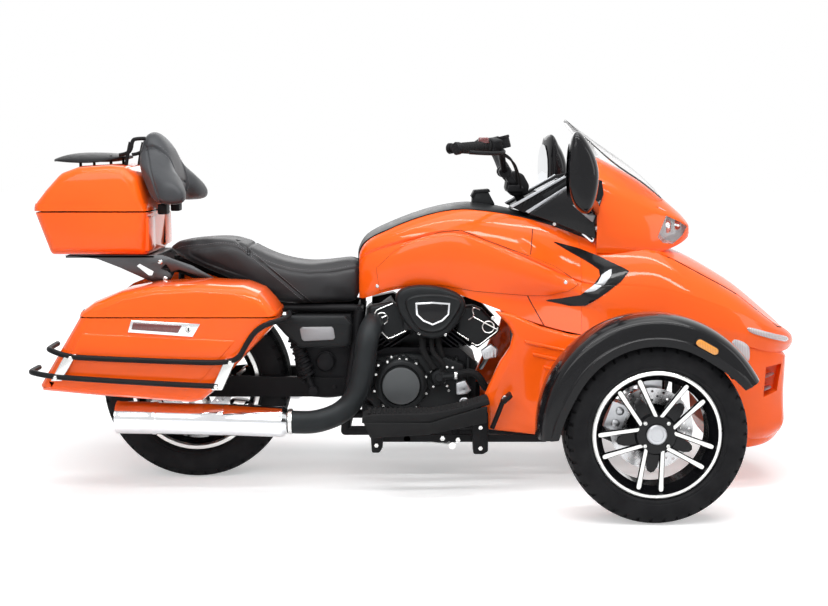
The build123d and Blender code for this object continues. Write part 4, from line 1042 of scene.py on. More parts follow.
def shellPart(whole, name, z0, z1, wall=4, swell=0):
    part = copyOf(whole, name)
    if swell:
        editAll(part, bpy.ops.transform.shrink_fatten, value=swell * mm)
    between(part, z0, z1)
    finishWith(part, "SOLIDIFY", thickness=wall * mm, offset=-1)
    return smooth(part, 30)


caseLook = {"outline": [(-1246, 793), (-1299, 941), (-1295, 968), (-1258, 1014), (-1206, 1070),
                        (-1145, 1092), (-1040, 1098),
                        (-990, 1092), (-950, 1051), (-913, 941), (-924, 793)], "seam": (938, 943),
                        "band": 968, "bevel": 9,
            "stations": [(-230, 34), (-226, 18), (-208, 4), (-150, 0), (150, 0), (208, 4), (226, 18),
                         (230, 34)]}
caseWhole = caseForm("caseWhole", caseLook["outline"], caseLook["stations"], caseLook["bevel"])
below, above = caseLook["seam"]
caseBase = shellPart(caseWhole, "caseBaseSkin", None, below)
caseLid = shellPart(caseWhole, "caseLidSkin", above, None)
caseBand = shellPart(caseWhole, "caseLidBand", above, caseLook["band"], 7, 3)
for y in (-150, 150):
    caseBase = joined("caseBaseSkin", [caseBase, block("rib", (-932, y - 58, 806), (-913, y + 58, 926), 8)])
bpy.data.objects.remove(caseWhole)
dress(caseBase, "orange", slot="orange_paint", stands=["case_base"])
caseLid = joined("caseLidSkin", [caseLid, caseBand])
dress(caseLid, "orange", "case_lid", "orange_paint", ["case_lid"])
for piece in (caseBase, caseLid):
    recoat(piece, "plastic", lambda normal, at: -1286 < at.x < -918 and abs(at.y) < 227 and 796 < at.z < 1093
           and normal.dot(at - Vector((-1090, 0, 941))) < 0)
hinges = []
for y in (-105, 135):
    hinges.append(block("hinge", (-898, y - 30, 927), (-866, y + 30, 962), 5))
dress(joined("caseHinges", hinges), "plastic", "case_lid", "black_plastic")
lock = slab("lock", [(-1300, 938), (-1293, 975), (-1282, 975), (-1288, 920), (-1296, 920)], -34, 34, 3)
dress(lock, "plastic", "case_lid", "black_plastic")

pannierLook = {"outline": [(-1241, 388), (-1232, 366), (-1017, 346), (-750, 326), (-714, 334), (-676, 365),
                           (-600, 454), (-500, 556),
                           (-468, 594), (-466, 622), (-490, 656), (-522, 690), (-575, 711), (-700, 719),
                           (-863, 711), (-970, 692),
                           (-1058, 658), (-1102, 626), (-1109, 608)],
               "seam": (609, 613), "band": 630, "bevel": 8,
               "stations": [(200, 12), (208, 0), (372, 0), (404, 5), (420, 14), (428, 26), (431, 44)]}
pannierWhole = caseForm("pannierWhole", pannierLook["outline"], pannierLook["stations"], pannierLook["bevel"])
below, above = pannierLook["seam"]
pannierBase = shellPart(pannierWhole, "pannierBaseLeft", None, below)
pannierLid = shellPart(pannierWhole, "pannierLidLeft", above, None)
pannierBand = shellPart(pannierWhole, "pannierBand", above, pannierLook["band"], 6, 2)
bpy.data.objects.remove(pannierWhole)
pannierLid = joined("pannierLidLeft", [pannierLid, pannierBand])
# the pressed panel on the base's outer face, and the lid's crown
panel = slab("basePanel", inwards([(-1215, 398), (-1010, 370), (-750, 352), (-700, 380), (-545, 560),
                                   (-1104, 588)], 24),
             420, 433.5, 7, 4)
pannierBase = joined("pannierBaseLeft", [pannierBase, panel])
crown = slab("lidCrown", [(-1040, 636), (-960, 672), (-860, 690), (-720, 698), (-600, 690), (-545, 668),
                          (-515, 636)],
             418, 430, 8, 4)
pannierLid = joined("pannierLidLeft", [pannierLid, crown])
latchLook = {"bezel": [(-932, 604), (-944, 564), (-735, 549), (-709, 592)],
             "lens": [(-925, 597), (-932, 573), (-782, 562), (-768, 587)], "key": (-748, 574)}
bezel = slab("latchBezel", latchLook["bezel"], 424, 436, 3)
lens = slab("latchLens", latchLook["lens"], 430, 439, 3)
keyX, keyZ = latchLook["key"]
keyhole = turned("keyhole", (keyX, 0, keyZ), [(10, 424), (10, 439), (8, 440.5), (7, 437), (1, 437)], 24)
keySlot = block("keySlot", (keyX - 2, 436, keyZ - 6), (keyX + 2, 438.5, keyZ + 6), 0.5)
coat(pannierBase, "orange")
coat(pannierLid, "orange")
for piece in (pannierBase, pannierLid):
    recoat(piece, "plastic", lambda normal, at: 203 < at.y < 418 and 332 < at.z < 714 and -1232 < at.x < -470
           and normal.dot(at - Vector((-850, 316, 611))) < 0)
for piece, material, slotName, bodyName, stand in (
        (pannierBase, "orange", "orange_paint", "chassis", "pannier_{}_base"),
        (pannierLid, "orange", "orange_paint", "pannier_lid_{}", "pannier_{}_lid"),
        (bezel, "chrome", "chrome", "chassis", ""), (lens, "red", "red_lens", "chassis", ""),
        (keyhole, "bolt", "chrome", "chassis", ""), (keySlot, "plastic", "black_plastic", "chassis", "")):
    twin = copyOf(piece, piece.name.replace("Left", "") + "Right", acrossCentre)
    for side, one in (("left", piece), ("right", twin)):
        if not one.data.materials:
            coat(one, material)
        settle(one, bodyName.format(side), slotName, [stand.format(side)] if stand else ())

# Guard rails round each pannier, with their link plates
guardLook = {"upper": [(-448, 215, 600), (-436, 300, 602), (-440, 420, 604), (-478, 450, 600),
                       (-529, 452, 576), (-562, 452, 528),
                       (-584, 452, 484), (-620, 452, 470),
                       (-700, 452, 468), (-1090, 452, 484), (-1140, 450, 490), (-1196, 440, 508),
                       (-1206, 400, 508),
                       (-1206, 300, 508)],
             "lower": [(-655, 452, 392), (-760, 455, 396), (-1120, 455, 418), (-1200, 452, 426),
                       (-1252, 440, 434),
                       (-1266, 410, 434), (-1264, 320, 432)], "radius": 9}
guards = [pipe("guard", guardLook[row], guardLook["radius"], 5, 12) for row in ("upper", "lower")]
links = []
for (x0, z0), (x1, z1) in (((-1124, 484), (-1174, 421)), ((-613, 469), (-660, 391))):
    strap = [(x0 - 17, z0 + 12), (x0 + 19, z0 + 12), (x1 + 19, z1 - 12), (x1 - 17, z1 - 12)]
    links.append(slab("link", strap, 430, 456, 4, 3))
    for x, z in ((x0, z0), (x1, z1)):
        links.append(turned("linkBolt", (x, 0, z), [(7, 456), (7, 461), (5, 462), (1, 462)], 6))
dress(bothSides("guardRails", joined("guards", guards)), "frame", slot="frame_black",
      stands=["pannier_guards"])
dress(bothSides("guardLinks", joined("links", links)), "bolt", slot="chrome")

# Rack: an oval deck with a drooping rim, on thin posts, with the looped frame behind the backrest
rackLook = {"centre": (-1140, 0), "half": (128, 160), "top": 1138, "droop": 32, "thick": 8}
cx, cy = rackLook["centre"]
halfX, halfY = rackLook["half"]
rings = []
for share in (-1, -0.94, -0.8, -0.55, -0.25, 0, 0.25, 0.55, 0.8, 0.94, 1):
    wide = halfY * max(1 - abs(share) ** 2.6, 0.03) ** (1 / 2.6)
    top = rackLook["top"] - rackLook["droop"] * abs(share) ** 3 * (0.8 if share < 0 else 0.4)
    arc = [(y * wide, top - rackLook["droop"] * (abs(y) * wide / halfY) ** 3) for y in (-1, -0.86, -0.5, 0,
        0.5, 0.86, 1)]
    rings.append([(cx + share * halfX, cy + y, z) for y, z in arc]
                 + [(cx + share * halfX, cy + y * 0.97, z - rackLook["thick"]) for y, z in reversed(arc)])
deck = skin("rackDeck", rings, levels=2)
parts = [deck]
for s in (-1, 1):
    for x, y, low in ((-1164, 96, 1080), (-1060, 96, 1086)):
        parts.append(pipe("post", [(x, s * y, low), (x, s * y, 1126)], 5, 2, 12, 2))
    loop = [(-1030, s * 100, 1128), (-1004, s * 104, 1132), (-988, s * 106, 1146), (-984, s * 106, 1176),
            (-972, s * 104, 1184),
            (-940, s * 96, 1184)]
    parts.append(pipe("loop", loop, 6.5, 6, 14))
    parts.append(pipe("strut", [(-1008, s * 106, 1072), (-1006, s * 106, 1110), (-990, s * 106, 1172)], 6,
                      5, 14))
parts.append(pipe("crossLoop", [(-972, -104, 1182), (-976, 0, 1186), (-972, 104, 1182)], 6, 5, 14))
dress(smooth(joined("rackSkin", parts), 35), "frame", "case_lid", "frame_black", ["luggage_rack"])

# Case bracket: a cut steel plate each side with its slot, brace and bolts
bracketLook = {"plate": [(-1211, 790), (-1099, 779), (-1020, 748), (-928, 706), (-905, 700), (-846, 714),
                         (-852, 730), (-884, 746),
                         (-866, 762), (-848, 734), (-820, 742), (-700, 700), (-662, 690), (-724, 726),
                         (-779, 757), (-852, 782),
                         (-880, 792)],
               "slot": [(-966, 754), (-955, 762), (-908, 736), (-914, 722), (-926, 722)],
               "bolts": [(-884, 768), (-868, 712)],
               "ys": (-172, -164)}
plate = slab("bracketPlate", bracketLook["plate"], *bracketLook["ys"], 1.2)
cutBy(plate, slab("slot", bracketLook["slot"], -180, -150, 0))
bolts = []
for x, z in bracketLook["bolts"]:
    bolts.append(turned("bolt", (x, 0, z), [(8, -172), (8, -178), (5, -180), (1, -180)], 6))
shelf = block("bracketShelf", (-1205, -172, 782), (-905, 172, 790), 1)
dress(joined("bracketSkin", [bothSides("plates", smooth(plate, 30)), shelf]), "gunmetal", slot="steel",
      stands=["case_bracket"])
dress(bothSides("bracketBolts", joined("bolts", bolts)), "bolt", slot="steel")
print("luggage")

# Padded pieces: a slightly smaller start form swells as cloth, then its seams are pressed in and stitched
def padded(piece, voxel, pressure, cap):
    finishWith(piece, "REMESH", mode="VOXEL", voxel_size=voxel * mm)
    start = [vert.co.copy() for vert in piece.data.vertices]
    pickOnly(piece)
    bpy.ops.object.modifier_add(type="CLOTH")
    cloth = piece.modifiers[-1]
    cloth.settings.use_pressure = True
    cloth.settings.uniform_pressure_force = pressure
    cloth.settings.effector_weights.gravity = 0
    for frameNumber in range(1, 21):
        bpy.context.scene.frame_set(frameNumber)
    bpy.ops.object.modifier_apply(modifier=cloth.name)
    bpy.context.scene.frame_set(1)
    for vert, origin in zip(piece.data.vertices, start):
        move = vert.co - origin
        if move.length > cap * mm:
            vert.co = origin + move.normalized() * cap * mm
    editAll(piece, bpy.ops.mesh.vertices_smooth, factor=0.5, repeat=14)
    finishWith(piece, "SUBSURF", levels=1, render_levels=1)
    smooth(piece, 60)
    return piece


def pressSeam(piece, distance, width, depth):
    # distance gives how far a point in millimetres lies from the seam
    normals = [vert.normal.copy() for vert in piece.data.vertices]
    for vert, normal in zip(piece.data.vertices, normals):
        away = distance(vert.co * 1000)
        if away < width * 3:
            vert.co -= normal * depth * mm * math.exp(-(away / width) ** 2)


def stitches(name, piece, path, pitch=7, length=4.6, thick=0.9):
    # short thread dashes laid on the surface along a path, dropped onto it along the given direction
    dashes = []
    for (start, end), aim in path:
        first, last = Vector(start), Vector(end)
        count = max(1, int((last - first).length / pitch))
        for k in range(count):
            spots = []
            for share in ((k + 0.15) / count, (k + 0.15 + length / pitch) / count):
                point = first.lerp(last, min(share, 1))
                hit, at, normal, face = piece.ray_cast((point - Vector(aim) * 120) * mm, Vector(aim))
                if hit:
                    spots.append(at * 1000 + normal * thick * 0.4)
            if len(spots) == 2 and (spots[1] - spots[0]).length < length * 2.5:
                dashes.append(spots)
    if not dashes:
        return None
    along = Vector((1, 0, 0))
    stem = skin(name + "Dash", [[(x, thick * math.cos(a), thick * math.sin(a)) for a in (0, 1.57, 3.14, 4.71)]
                                for x in (-length / 2, length / 2)])
    copies = []
    for first, last in dashes:
        turn = along.rotation_difference((last - first).normalized()).to_matrix().to_4x4()
        copies.append(copyOf(stem, name, Matrix.Translation((first + last) / 2 * mm) @ turn))
    bpy.data.objects.remove(stem)
    return joined(name, copies)


seatLook = {"rows": [  # x, top z, half width, shoulder drop, bottom z, dip at the centre
    (-884, 818, 58, 5, 808, 0), (-862, 826, 96, 8, 796, 1), (-802, 838, 126, 14, 768, 2),
    (-700, 846, 147, 16, 726, 3),
    (-640, 842, 153, 18, 700, 4), (-596, 824, 154, 20, 676, 4), (-553, 800, 155, 22, 650, 5),
    (-500, 778, 160, 24, 630, 7),
    (-440, 764, 166, 24, 624, 9), (-386, 758, 166, 24, 624, 9), (-317, 763, 148, 24, 624, 7),
    (-260, 772, 126, 22, 624, 4),
    (-215, 779, 112, 18, 626, 2)],
    "shrink": 6, "voxel": 6, "pressure": 4, "cap": 8, "seam": [(-650, 850), (-560, 776), (-463, 696),
        (-382, 624)],
    "welt": 0.86}
rings = []
for x, top, wide, drop, low, dip in seatLook["rows"]:
    less = seatLook["shrink"]
    w, t, b = wide - less, top - less, low + less * 0.4
    rings.append(halves(x, [(0, t - dip), (w * 0.5, t - dip * 0.3), (w * 0.84, t - drop * 0.4),
                            (w, t - drop - 6),
                            (w * 1.02, (t + b) / 2), (w * 0.94, b), (0, b)]))
seatPad = skin("seatPad", rings, creases={5: 0.5, 3: 0.25}, ringCreases={0: 0.5, len(rings) - 1: 0.6},
               levels=2)
padded(seatPad, seatLook["voxel"], seatLook["pressure"], seatLook["cap"])


def seatHalf(x):
    rows = seatLook["rows"]
    for (x0, _, w0, *_), (x1, _, w1, *_) in zip(rows, rows[1:]):
        if x0 <= x <= x1:
            return w0 + (w1 - w0) * (x - x0) / (x1 - x0)
    return rows[0][2] if x < rows[0][0] else rows[-1][2]


def lineDistance(line, x, z):
    best = 1e9
    for (x0, z0), (x1, z1) in zip(line, line[1:]):
        share = ((x - x0) * (x1 - x0) + (z - z0) * (z1 - z0)) / ((x1 - x0) ** 2 + (z1 - z0) ** 2)
        share = min(max(share, 0), 1)
        best = min(best, math.hypot(x - x0 - share * (x1 - x0), z - z0 - share * (z1 - z0)))
    return best


def onTop(p):
    return p.z > 700 + max(0, (-553 - p.x)) * 0.3


pressSeam(seatPad, lambda p: lineDistance(seatLook["seam"], p.x, p.z) if abs(p.y) > 70 else 99, 3.2, 4)
pressSeam(seatPad,
          lambda p: abs(abs(p.y) - seatHalf(p.x) * seatLook["welt"]) if onTop(p) and p.x > -850 else 99,
          3.2, 4)
pressSeam(seatPad,
          lambda p: abs(p.x + 590) if onTop(p) and abs(p.y) < seatHalf(p.x) * seatLook["welt"] else 99, 4, 7)
coat(seatPad, "seat")
settle(seatPad, slot="seat_leather", stands=["seat"])
path = []
for offset in (7, -9):
    line = [(x + offset * 0.76, z + offset * 0.64) for x, z in seatLook["seam"]]
    for (x0, z0), (x1, z1) in zip(line, line[1:]):
        for s in (-1, 1):
            path.append((((x0, s * 150, z0), (x1, s * 150, z1)), (0, -s, 0)))
xs = [-846 + 26 * k for k in range(24)]
for x0, x1 in zip(xs, xs[1:]):
    for s in (-1, 1):
        y0, y1 = (seatHalf(x) * seatLook["welt"] - 9 for x in (x0, x1))
        path.append((((x0, s * y0, 800), (x1, s * y1, 800)), (0, 0, -1)))
dress(stitches("seatStitches", seatPad, path), "thread", slot="seat_leather")

backLook = {"stations": [
    (276, [(-868, 985), (-872, 1014), (-858, 1038), (-832, 1046), (-800, 1038), (-778, 1014), (-770, 988),
           (-784, 968), (-836, 968)]),
    (236, [(-896, 968), (-906, 1028), (-898, 1068), (-868, 1080), (-824, 1064), (-784, 1030), (-766, 988),
           (-784, 960), (-846, 958)]),
    (172, [(-904, 964), (-936, 1050), (-958, 1102), (-932, 1124), (-874, 1092), (-812, 1050), (-776, 994),
           (-796, 960), (-856, 955)]),
    (118, [(-904, 962), (-940, 1050), (-970, 1120), (-952, 1162), (-902, 1156), (-848, 1082), (-814, 1004),
           (-824, 962), (-866, 955)]),
    (84, [(-902, 962), (-940, 1050), (-972, 1122), (-960, 1196), (-912, 1214), (-862, 1136), (-838, 1012),
          (-842, 964), (-870, 957)]),
    (40, [(-900, 962), (-938, 1052), (-972, 1124), (-964, 1210), (-912, 1233), (-858, 1150), (-834, 1014),
          (-840, 964), (-870, 957)])],
    "shrink": 7, "voxel": 5, "pressure": 4, "cap": 12, "join": 88}
stations = backLook["stations"]
sides = [(y * 0.985, inwards(outline, backLook["shrink"])) for y, outline in stations]
sides += [(-y, outline) for y, outline in reversed(sides)]
rings = [[(x, y, z) for x, z in outline] for y, outline in sides]
backPad = skin("backPad", rings, creases={0: 0.2}, ringCreases={0: 0.3, len(rings) - 1: 0.3}, levels=2)
padded(backPad, backLook["voxel"], backLook["pressure"], backLook["cap"])
pressSeam(backPad, lambda p: abs(abs(p.y) - backLook["join"] - (p.z - 960) * 0.06), 4.5, 9)
pressSeam(backPad,
          lambda p: abs(p.z - 1010 - (272 - abs(p.y)) * 0.12) if abs(p.y) < 80 and p.x > -900 else 99, 4, 5)
pressSeam(backPad, lambda p: abs(p.x + 868 + (p.z - 985) * 0.42) if abs(p.y) > 92 else 99, 3, 4)
coat(backPad, "pad")
settle(backPad, "case_lid", "seat_leather", ["backrest"])
path = []
for s in (-1, 1):
    for offset in (-9, 9):
        for k in range(8):
            z0, z1 = 985 + 24 * k, 985 + 24 * (k + 1)
            y0, y1 = (backLook["join"] + (z - 960) * 0.06 + offset for z in (z0, z1))
            path.append((((-860, s * y0, z0), (-860, s * y1, z1)), (-1, 0, 0)))
dress(stitches("backStitches", backPad, path), "thread", "case_lid", "seat_leather")
print("seat and backrest")

# Trim on the orange skins: a raised patch is the skin inside a side-view outline, swelled a little
def patch(name, source, outline, lift, material, slotName, depth=(90, 420), axis="Y"):
    shell = copyOf(source, name)
    sides = []
    for s in (-1, 1):
        sides.append(skin("zone", [[(x, s * d, o) if axis == "Y" else (x, s * o, d) for x, o in outline]
                                   for d in depth]))
    cutBy(shell, joined("zones", sides), "INTERSECT")
    editAll(shell, bpy.ops.transform.shrink_fatten, value=lift * mm)
    return dress(smooth(shell, 32), material, slot=slotName)


trimLook = {
    "knee": [(-150, 745), (-92, 800), (-34, 838), (62, 868), (131, 876), (216, 842), (368, 787), (444, 756),
             (497, 722), (519, 700),
             (490, 680), (425, 664), (360, 662), (180, 676), (62, 696), (-60, 690), (-140, 672)],
    "chevron": [(449, 836), (528, 815), (592, 791), (637, 770), (676, 752), (690, 744), (662, 712),
                (620, 680), (588, 657),
                (546, 630), (500, 628), (420, 644), (468, 650), (530, 663), (568, 690), (597, 727),
                (595, 748), (577, 762),
                (548, 780), (500, 806)],
    "silver": [(632, 748), (604, 730), (590, 706), (560, 684), (545, 676), (575, 682), (604, 700),
               (628, 728)],
    "spine": [(-216, 0), (-216, 78), (-186, 98), (-120, 120), (0, 134), (113, 141), (200, 142), (300, 139),
              (400, 138),
              (533, 142), (600, 146), (600, 0)]}
# both halves of the skin again, as one, so that a patch runs across the seam
flow = makeFlow("flow")
kneePatch = patch("kneePanel", flow, trimLook["knee"], 3.4, "orange", "orange_paint")
patch("chevrons", flow, trimLook["chevron"], 2.4, "black", "gloss_plastic")
patch("chevronInsets", flow, trimLook["silver"], 4.2, "silver", "alloy")
spine = patch("spineCover", flow, trimLook["spine"], 4.5, "satin", "gloss_plastic", (760, 1000), "Z")
bpy.data.objects.remove(flow)
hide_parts("tank_console")


def hairline(points, wide):
    # the outline of a narrow strip along a side-view line
    return [(x - wide / 2, z) for x, z in points] + [(x + wide / 2, z) for x, z in reversed(points)]


flow = makeFlow("flow")
patch("kneeLine", flow, inwards(trimLook["knee"], -3), 0.7, "plastic", "black_plastic")
patch("panelJoint", flow, hairline([(355, 662), (366, 640), (418, 548)], 3), 0.5, "plastic", "black_plastic")
patch("tankJoint", flow, hairline([(376, 880), (366, 797)], 2.2), 0.5, "plastic", "black_plastic", (120, 420))
bpy.data.objects.remove(flow)

screwLook = {"spots": [(481, 706, 262), (452, 895, 146), (-150, 684, 148), (520, 508, 300),
                       (238, 588, 262)], "r": 5}
screws = []
for x, z, y in screwLook["spots"]:
    # the nearest skin met from the side, or y where there is none
    hits = []
    for target in (kneePatch, tank, frontShell):
        found, at, normal, face = target.ray_cast(Vector((x, -600, z)) * mm, Vector((0, 1, 0)))
        if found:
            hits.append(at.y)
    near = -min(hits) * 1000 if hits else y
    r = screwLook["r"]
    for s in (-1, 1):
        head = [(r + 1.5, near - 1), (r + 1.5, near + 1.5), (r, near + 3), (r * 0.5, near + 3),
                (r * 0.4, near + 1),
                (1, near + 1)]
        screws.append(turned("screw", (x, 0, z), [(radius, s * along) for radius, along in head], 16))
dress(joined("panelScrews", screws), "bolt", slot="steel")

# Fuel cap box on the spine
capLook = {"box": [(176, 950), (177, 985), (188, 1000), (232, 1003), (257, 956)],
           "lid": [(172, 984), (184, 1006), (236, 1010), (240, 1000), (190, 996), (180, 978)]}
dress(slab("fuelCapBox", capLook["box"], -38, 38, 5, 3), "satin", slot="gloss_plastic")
dress(slab("fuelCapLid", capLook["lid"], -42, 42, 2, 2), "plastic", slot="black_plastic")

# Dash sides: glossy panel, louvres between bright strips, and the grey foot of each mirror
dashLook = {"panel": [(366, 930), (502, 1022), (560, 1052), (604, 1044), (610, 1000), (583, 906),
                      (586, 848), (540, 866),
                      (453, 900)],
            "louvreBack": [(303, 953), (352, 932), (505, 1026), (560, 1060), (545, 1068), (485, 1056)],
            "strips": [[(300, 957), (482, 1058), (490, 1054), (308, 950)],
                       [(352, 938), (500, 1030), (506, 1022), (364, 932)]],
            "grey": [(409, 994), (470, 1028), (492, 1042), (497, 1034), (470, 1008), (420, 982)],
            "foot": [(500, 966), (569, 947), (600, 980), (575, 903)],
            "badge": [(540, 863), (559, 878), (586, 848), (577, 832)]}


def flare(piece, x0, x1, reach):
    # leans a side panel outward towards its front
    for vert in piece.data.vertices:
        share = min(max((vert.co.x * 1000 - x0) / (x1 - x0), 0), 1)
        vert.co.y += reach * mm * share * (-1 if vert.co.y < 0 else 1)
    return piece


panel = flare(slab("dashPanel", dashLook["panel"], -158, -146, 2.5, 3), 380, 600, 44)
dress(bothSides("dashPanels", panel), "black", slot="gloss_plastic")
louvre = slab("louvreBack", dashLook["louvreBack"], -146, -118, 2)
blades = []
for k in range(9):
    share = (k + 0.5) / 9
    x, z = 330 + 130 * share, 950 + 75 * share
    blades.append(slab("blade", [(x - 7, z - 7), (x - 3, z - 9), (x + 9, z + 14), (x + 5, z + 16)], -150,
                       -140, 0.8))
dress(bothSides("dashLouvres", joined("louvre", [louvre] + blades)), "plastic", slot="black_plastic")
strips = [slab("strip", outline, -152, -144, 1.2) for outline in dashLook["strips"]]
dress(bothSides("dashStrips", joined("strip", strips)), "silver", slot="alloy")
dress(bothSides("dashInsets", slab("inset", dashLook["grey"], -151, -143, 1.5)), "satin",
      slot="gloss_plastic")
foot = flare(slab("mirrorFoot", dashLook["foot"], -176, -150, 3, 3), 480, 600, 34)
dress(bothSides("mirrorFeet", foot), "badge", slot="alloy")
badge = flare(slab("sideBadge", dashLook["badge"], -172, -150, 2, 2), 500, 600, 16)
dress(bothSides("sideBadges", badge), "chrome", slot="chrome")
inner = slab("badgeInner", inwards(dashLook["badge"], 6), -174, -160, 1)
dress(bothSides("badgeCentres", flare(inner, 500, 600, 16)), "black", slot="gloss_plastic")

# Instrument hood and screen between the dash sides
hoodPlate = skin("instrumentHood", [[(x, y, z) for y in (-118, -60, 60, 118)] + [(x, y,
    z - 14) for y in (118, 60, -60, -118)]
                                    for x, z in ((300, 948), (380, 986), (480, 1042), (545, 1066),
                                                 (576, 1056))],
                 creases={0: 0.6, 3: 0.6}, levels=1)
dress(smooth(hoodPlate, 40), "plastic", slot="black_plastic", stands=["dash"])
glass = skin("instrumentGlass", [[(x, y, z) for y in (-92, 92)] + [(x, y, z - 6) for y in (92, -92)]
                                 for x, z in ((400, 1004), (500, 1058))])
dress(smooth(glass, 30), "smoke", slot="lamp_glass")

# Lower side panels: the curved plate, its pressed ribs and its scalloped front-of-engine edge
lowerLook = {"outline": [(243, 615), (287, 569), (304, 535), (294, 492), (261, 444), (228, 372), (196, 299),
                         (208, 262),
                         (222, 216), (330, 203), (426, 192), (438, 300), (454, 366), (482, 414), (556, 497),
                         (606, 514), (534, 532),
                         (494, 536), (394, 563), (300, 605)],
             "ribs": [[(340, 520), (508, 482)], [(366, 478), (494, 449)], [(404, 434), (478, 417)],
                      [(434, 390), (462, 383)]],
             "groove": [(306, 528), (330, 496), (384, 460), (420, 410), (430, 370), (426, 318), (406, 226)],
             "ys": [(262, 2), (270, 0), (284, 0), (291, 4), (295, 12)]}
lower = skin("lowerPanel", stack(lowerLook["outline"], lowerLook["ys"], -1))
bevelled(lower, 2, angle_limit=math.radians(30))
ribs = []
for (x0, z0), (x1, z1) in lowerLook["ribs"]:
    ribs.append(slab("rib", [(x0, z0), (x1, z1), (x1 + 5, z1 - 12), (x0 + 5, z0 - 13)], -300, -288, 4, 3))
lower = joined("lowerPanel", [lower] + ribs)
cutBy(lower, pipe("recess", [(x, -297, z) for x, z in lowerLook["groove"]], 6, 8, 12))
smooth(lower, 34)
dress(bothSides("lowerPanels", lower), "orange", slot="orange_paint", stands=["lower_panels"])

# Side covers under the seat with a blank silver badge
coverLook = {"outline": [(-513, 588), (-259, 588), (-236, 560), (-238, 487), (-262, 476), (-413, 476),
                         (-463, 521), (-497, 560)],
             "badge": [(-412, 542), (-404, 549), (-304, 550), (-297, 542), (-293, 512), (-300, 506),
                       (-398, 501), (-406, 508)]}
cover = skin("sideCover", stack(coverLook["outline"], ((176, 0), (186, 0), (192, 5), (195, 14)), -1))
bevelled(cover, 4, 3, angle_limit=math.radians(25))
lines = [slab("groove", [(-470 + 12 * k, 560 - 16 * k), (-262, 560 - 16 * k), (-262, 557 - 16 * k),
                         (-468 + 12 * k, 557 - 16 * k)],
              -196, -192, 0.6) for k in (0, 4)]
cover = joined("sideCover", [cover] + lines)
dress(bothSides("sideCoverSkins", smooth(cover, 32)), "satin", slot="black_plastic", stands=["side_covers"])
badge = slab("coverBadge", coverLook["badge"], -199, -193, 2, 3)
dress(bothSides("coverBadges", badge), "badge", slot="alloy")
inner = slab("coverBadgeFace", inwards(coverLook["badge"], 5), -200, -196, 0.8)
dress(bothSides("coverBadgeFaces", inner), "badge", slot="steel")
print("trim")

# Engine dressing. The crankcase and cylinder blocks stay; covers, fins, lines, hoses and bolts go over them.
def line(name, points, radius, y, order=2):
    return pipe(name, [(x, y, z) for x, z in points], radius, 4, 6, order)


def arc(centre, radius, start, end, count=10):
    return [onCircle(centre, radius, start + (end - start) * k / (count - 1)) for k in range(count)]


def capScrew(x, y, z, r=6, tall=7, segments=6):
    # y is where it sits; it points away from the centre line
    s = -1 if y < 0 else 1
    profile = [(r, y - s * 3), (r, y + s * (tall - 1)), (r - 1, y + s * tall), (r * 0.55, y + s * tall),
               (r * 0.5, y + s * (tall - 3)), (0.8, y + s * (tall - 3))]
    return turned("capScrew", (x, 0, z), profile, segments)


engineLook = {
    "cleaner": [(-92, 672), (-52, 690), (-11, 697), (62, 692), (127, 670), (157, 633), (131, 576),
                (87, 520), (38, 512),
                (-11, 521), (-52, 563), (-84, 613)],
    "ridge": [(-55, 652), (-23, 666), (37, 670), (94, 664), (130, 652), (138, 632), (110, 587), (78, 542),
              (38, 536), (-3, 540),
              (-31, 571), (-56, 628)],
    "shield": [(-21, 639), (37, 643), (96, 639), (93, 599), (70, 577), (37, 563), (5, 577), (-18, 599)],
    "cleanerScrews": [(-53, 671), (-8, 534), (80, 530)],
    "rearCover": [(-101, 634), (-178, 618), (-180, 583), (-155, 529), (-112, 491), (-44, 525), (-40, 600)],
    "frontCover": [(120, 612), (175, 621), (208, 608), (270, 542), (262, 525), (192, 471), (122, 521)],
    "caseBolts": [(-115, 430), (-146, 419), (-154, 387), (-159, 330), (-130, 280), (-74, 259), (-18, 274),
                  (17, 322), (15, 379),
                  (-18, 425), (-51, 439), (-74, 439)],
    "blockBolts": [(35, 392), (41, 341), (88, 343), (94, 327), (88, 409), (107, 407), (61, 256), (5, 264),
                   (-102, 443)],
    "clutch": (-69, 352), "plate": [(-96, 262), (140, 250), (170, 300), (146, 418), (60, 452), (-60, 455),
                                    (-160, 440),
                                    (-192, 380), (-190, 300), (-150, 256)]}
cleaner = skin("airCleaner", stack(engineLook["cleaner"], ((-216, 0), (-236, -1), (-248, 4), (-254, 14))),
               ringCreases={0: 1.0}, levels=2)
ridge = skin("cleanerRidge", stack(engineLook["ridge"], ((-246, -4), (-256, 0), (-262, 5), (-262, 8),
    (-257, 14))),
             levels=2)
stub = block("intake", (-60, -220, 540), (90, 60, 608), 6)
throat = block("throat", (-74, -80, 462), (84, 80, 560), 8)
cleaner = joined("airCleaner", [cleaner, ridge, stub, throat])
dress(smooth(cleaner, 40), "satin", slot="black_plastic", stands=["air_cleaner"])
dress(slab("shieldRim", engineLook["shield"], -263, -256, 1.5), "chrome", slot="chrome")
dress(slab("shieldFace", inwards(engineLook["shield"], 6), -264.5, -257, 1), "black", slot="gloss_plastic")
screws = [capScrew(x, -244, z, 5, 6, 16) for x, z in engineLook["cleanerScrews"]]

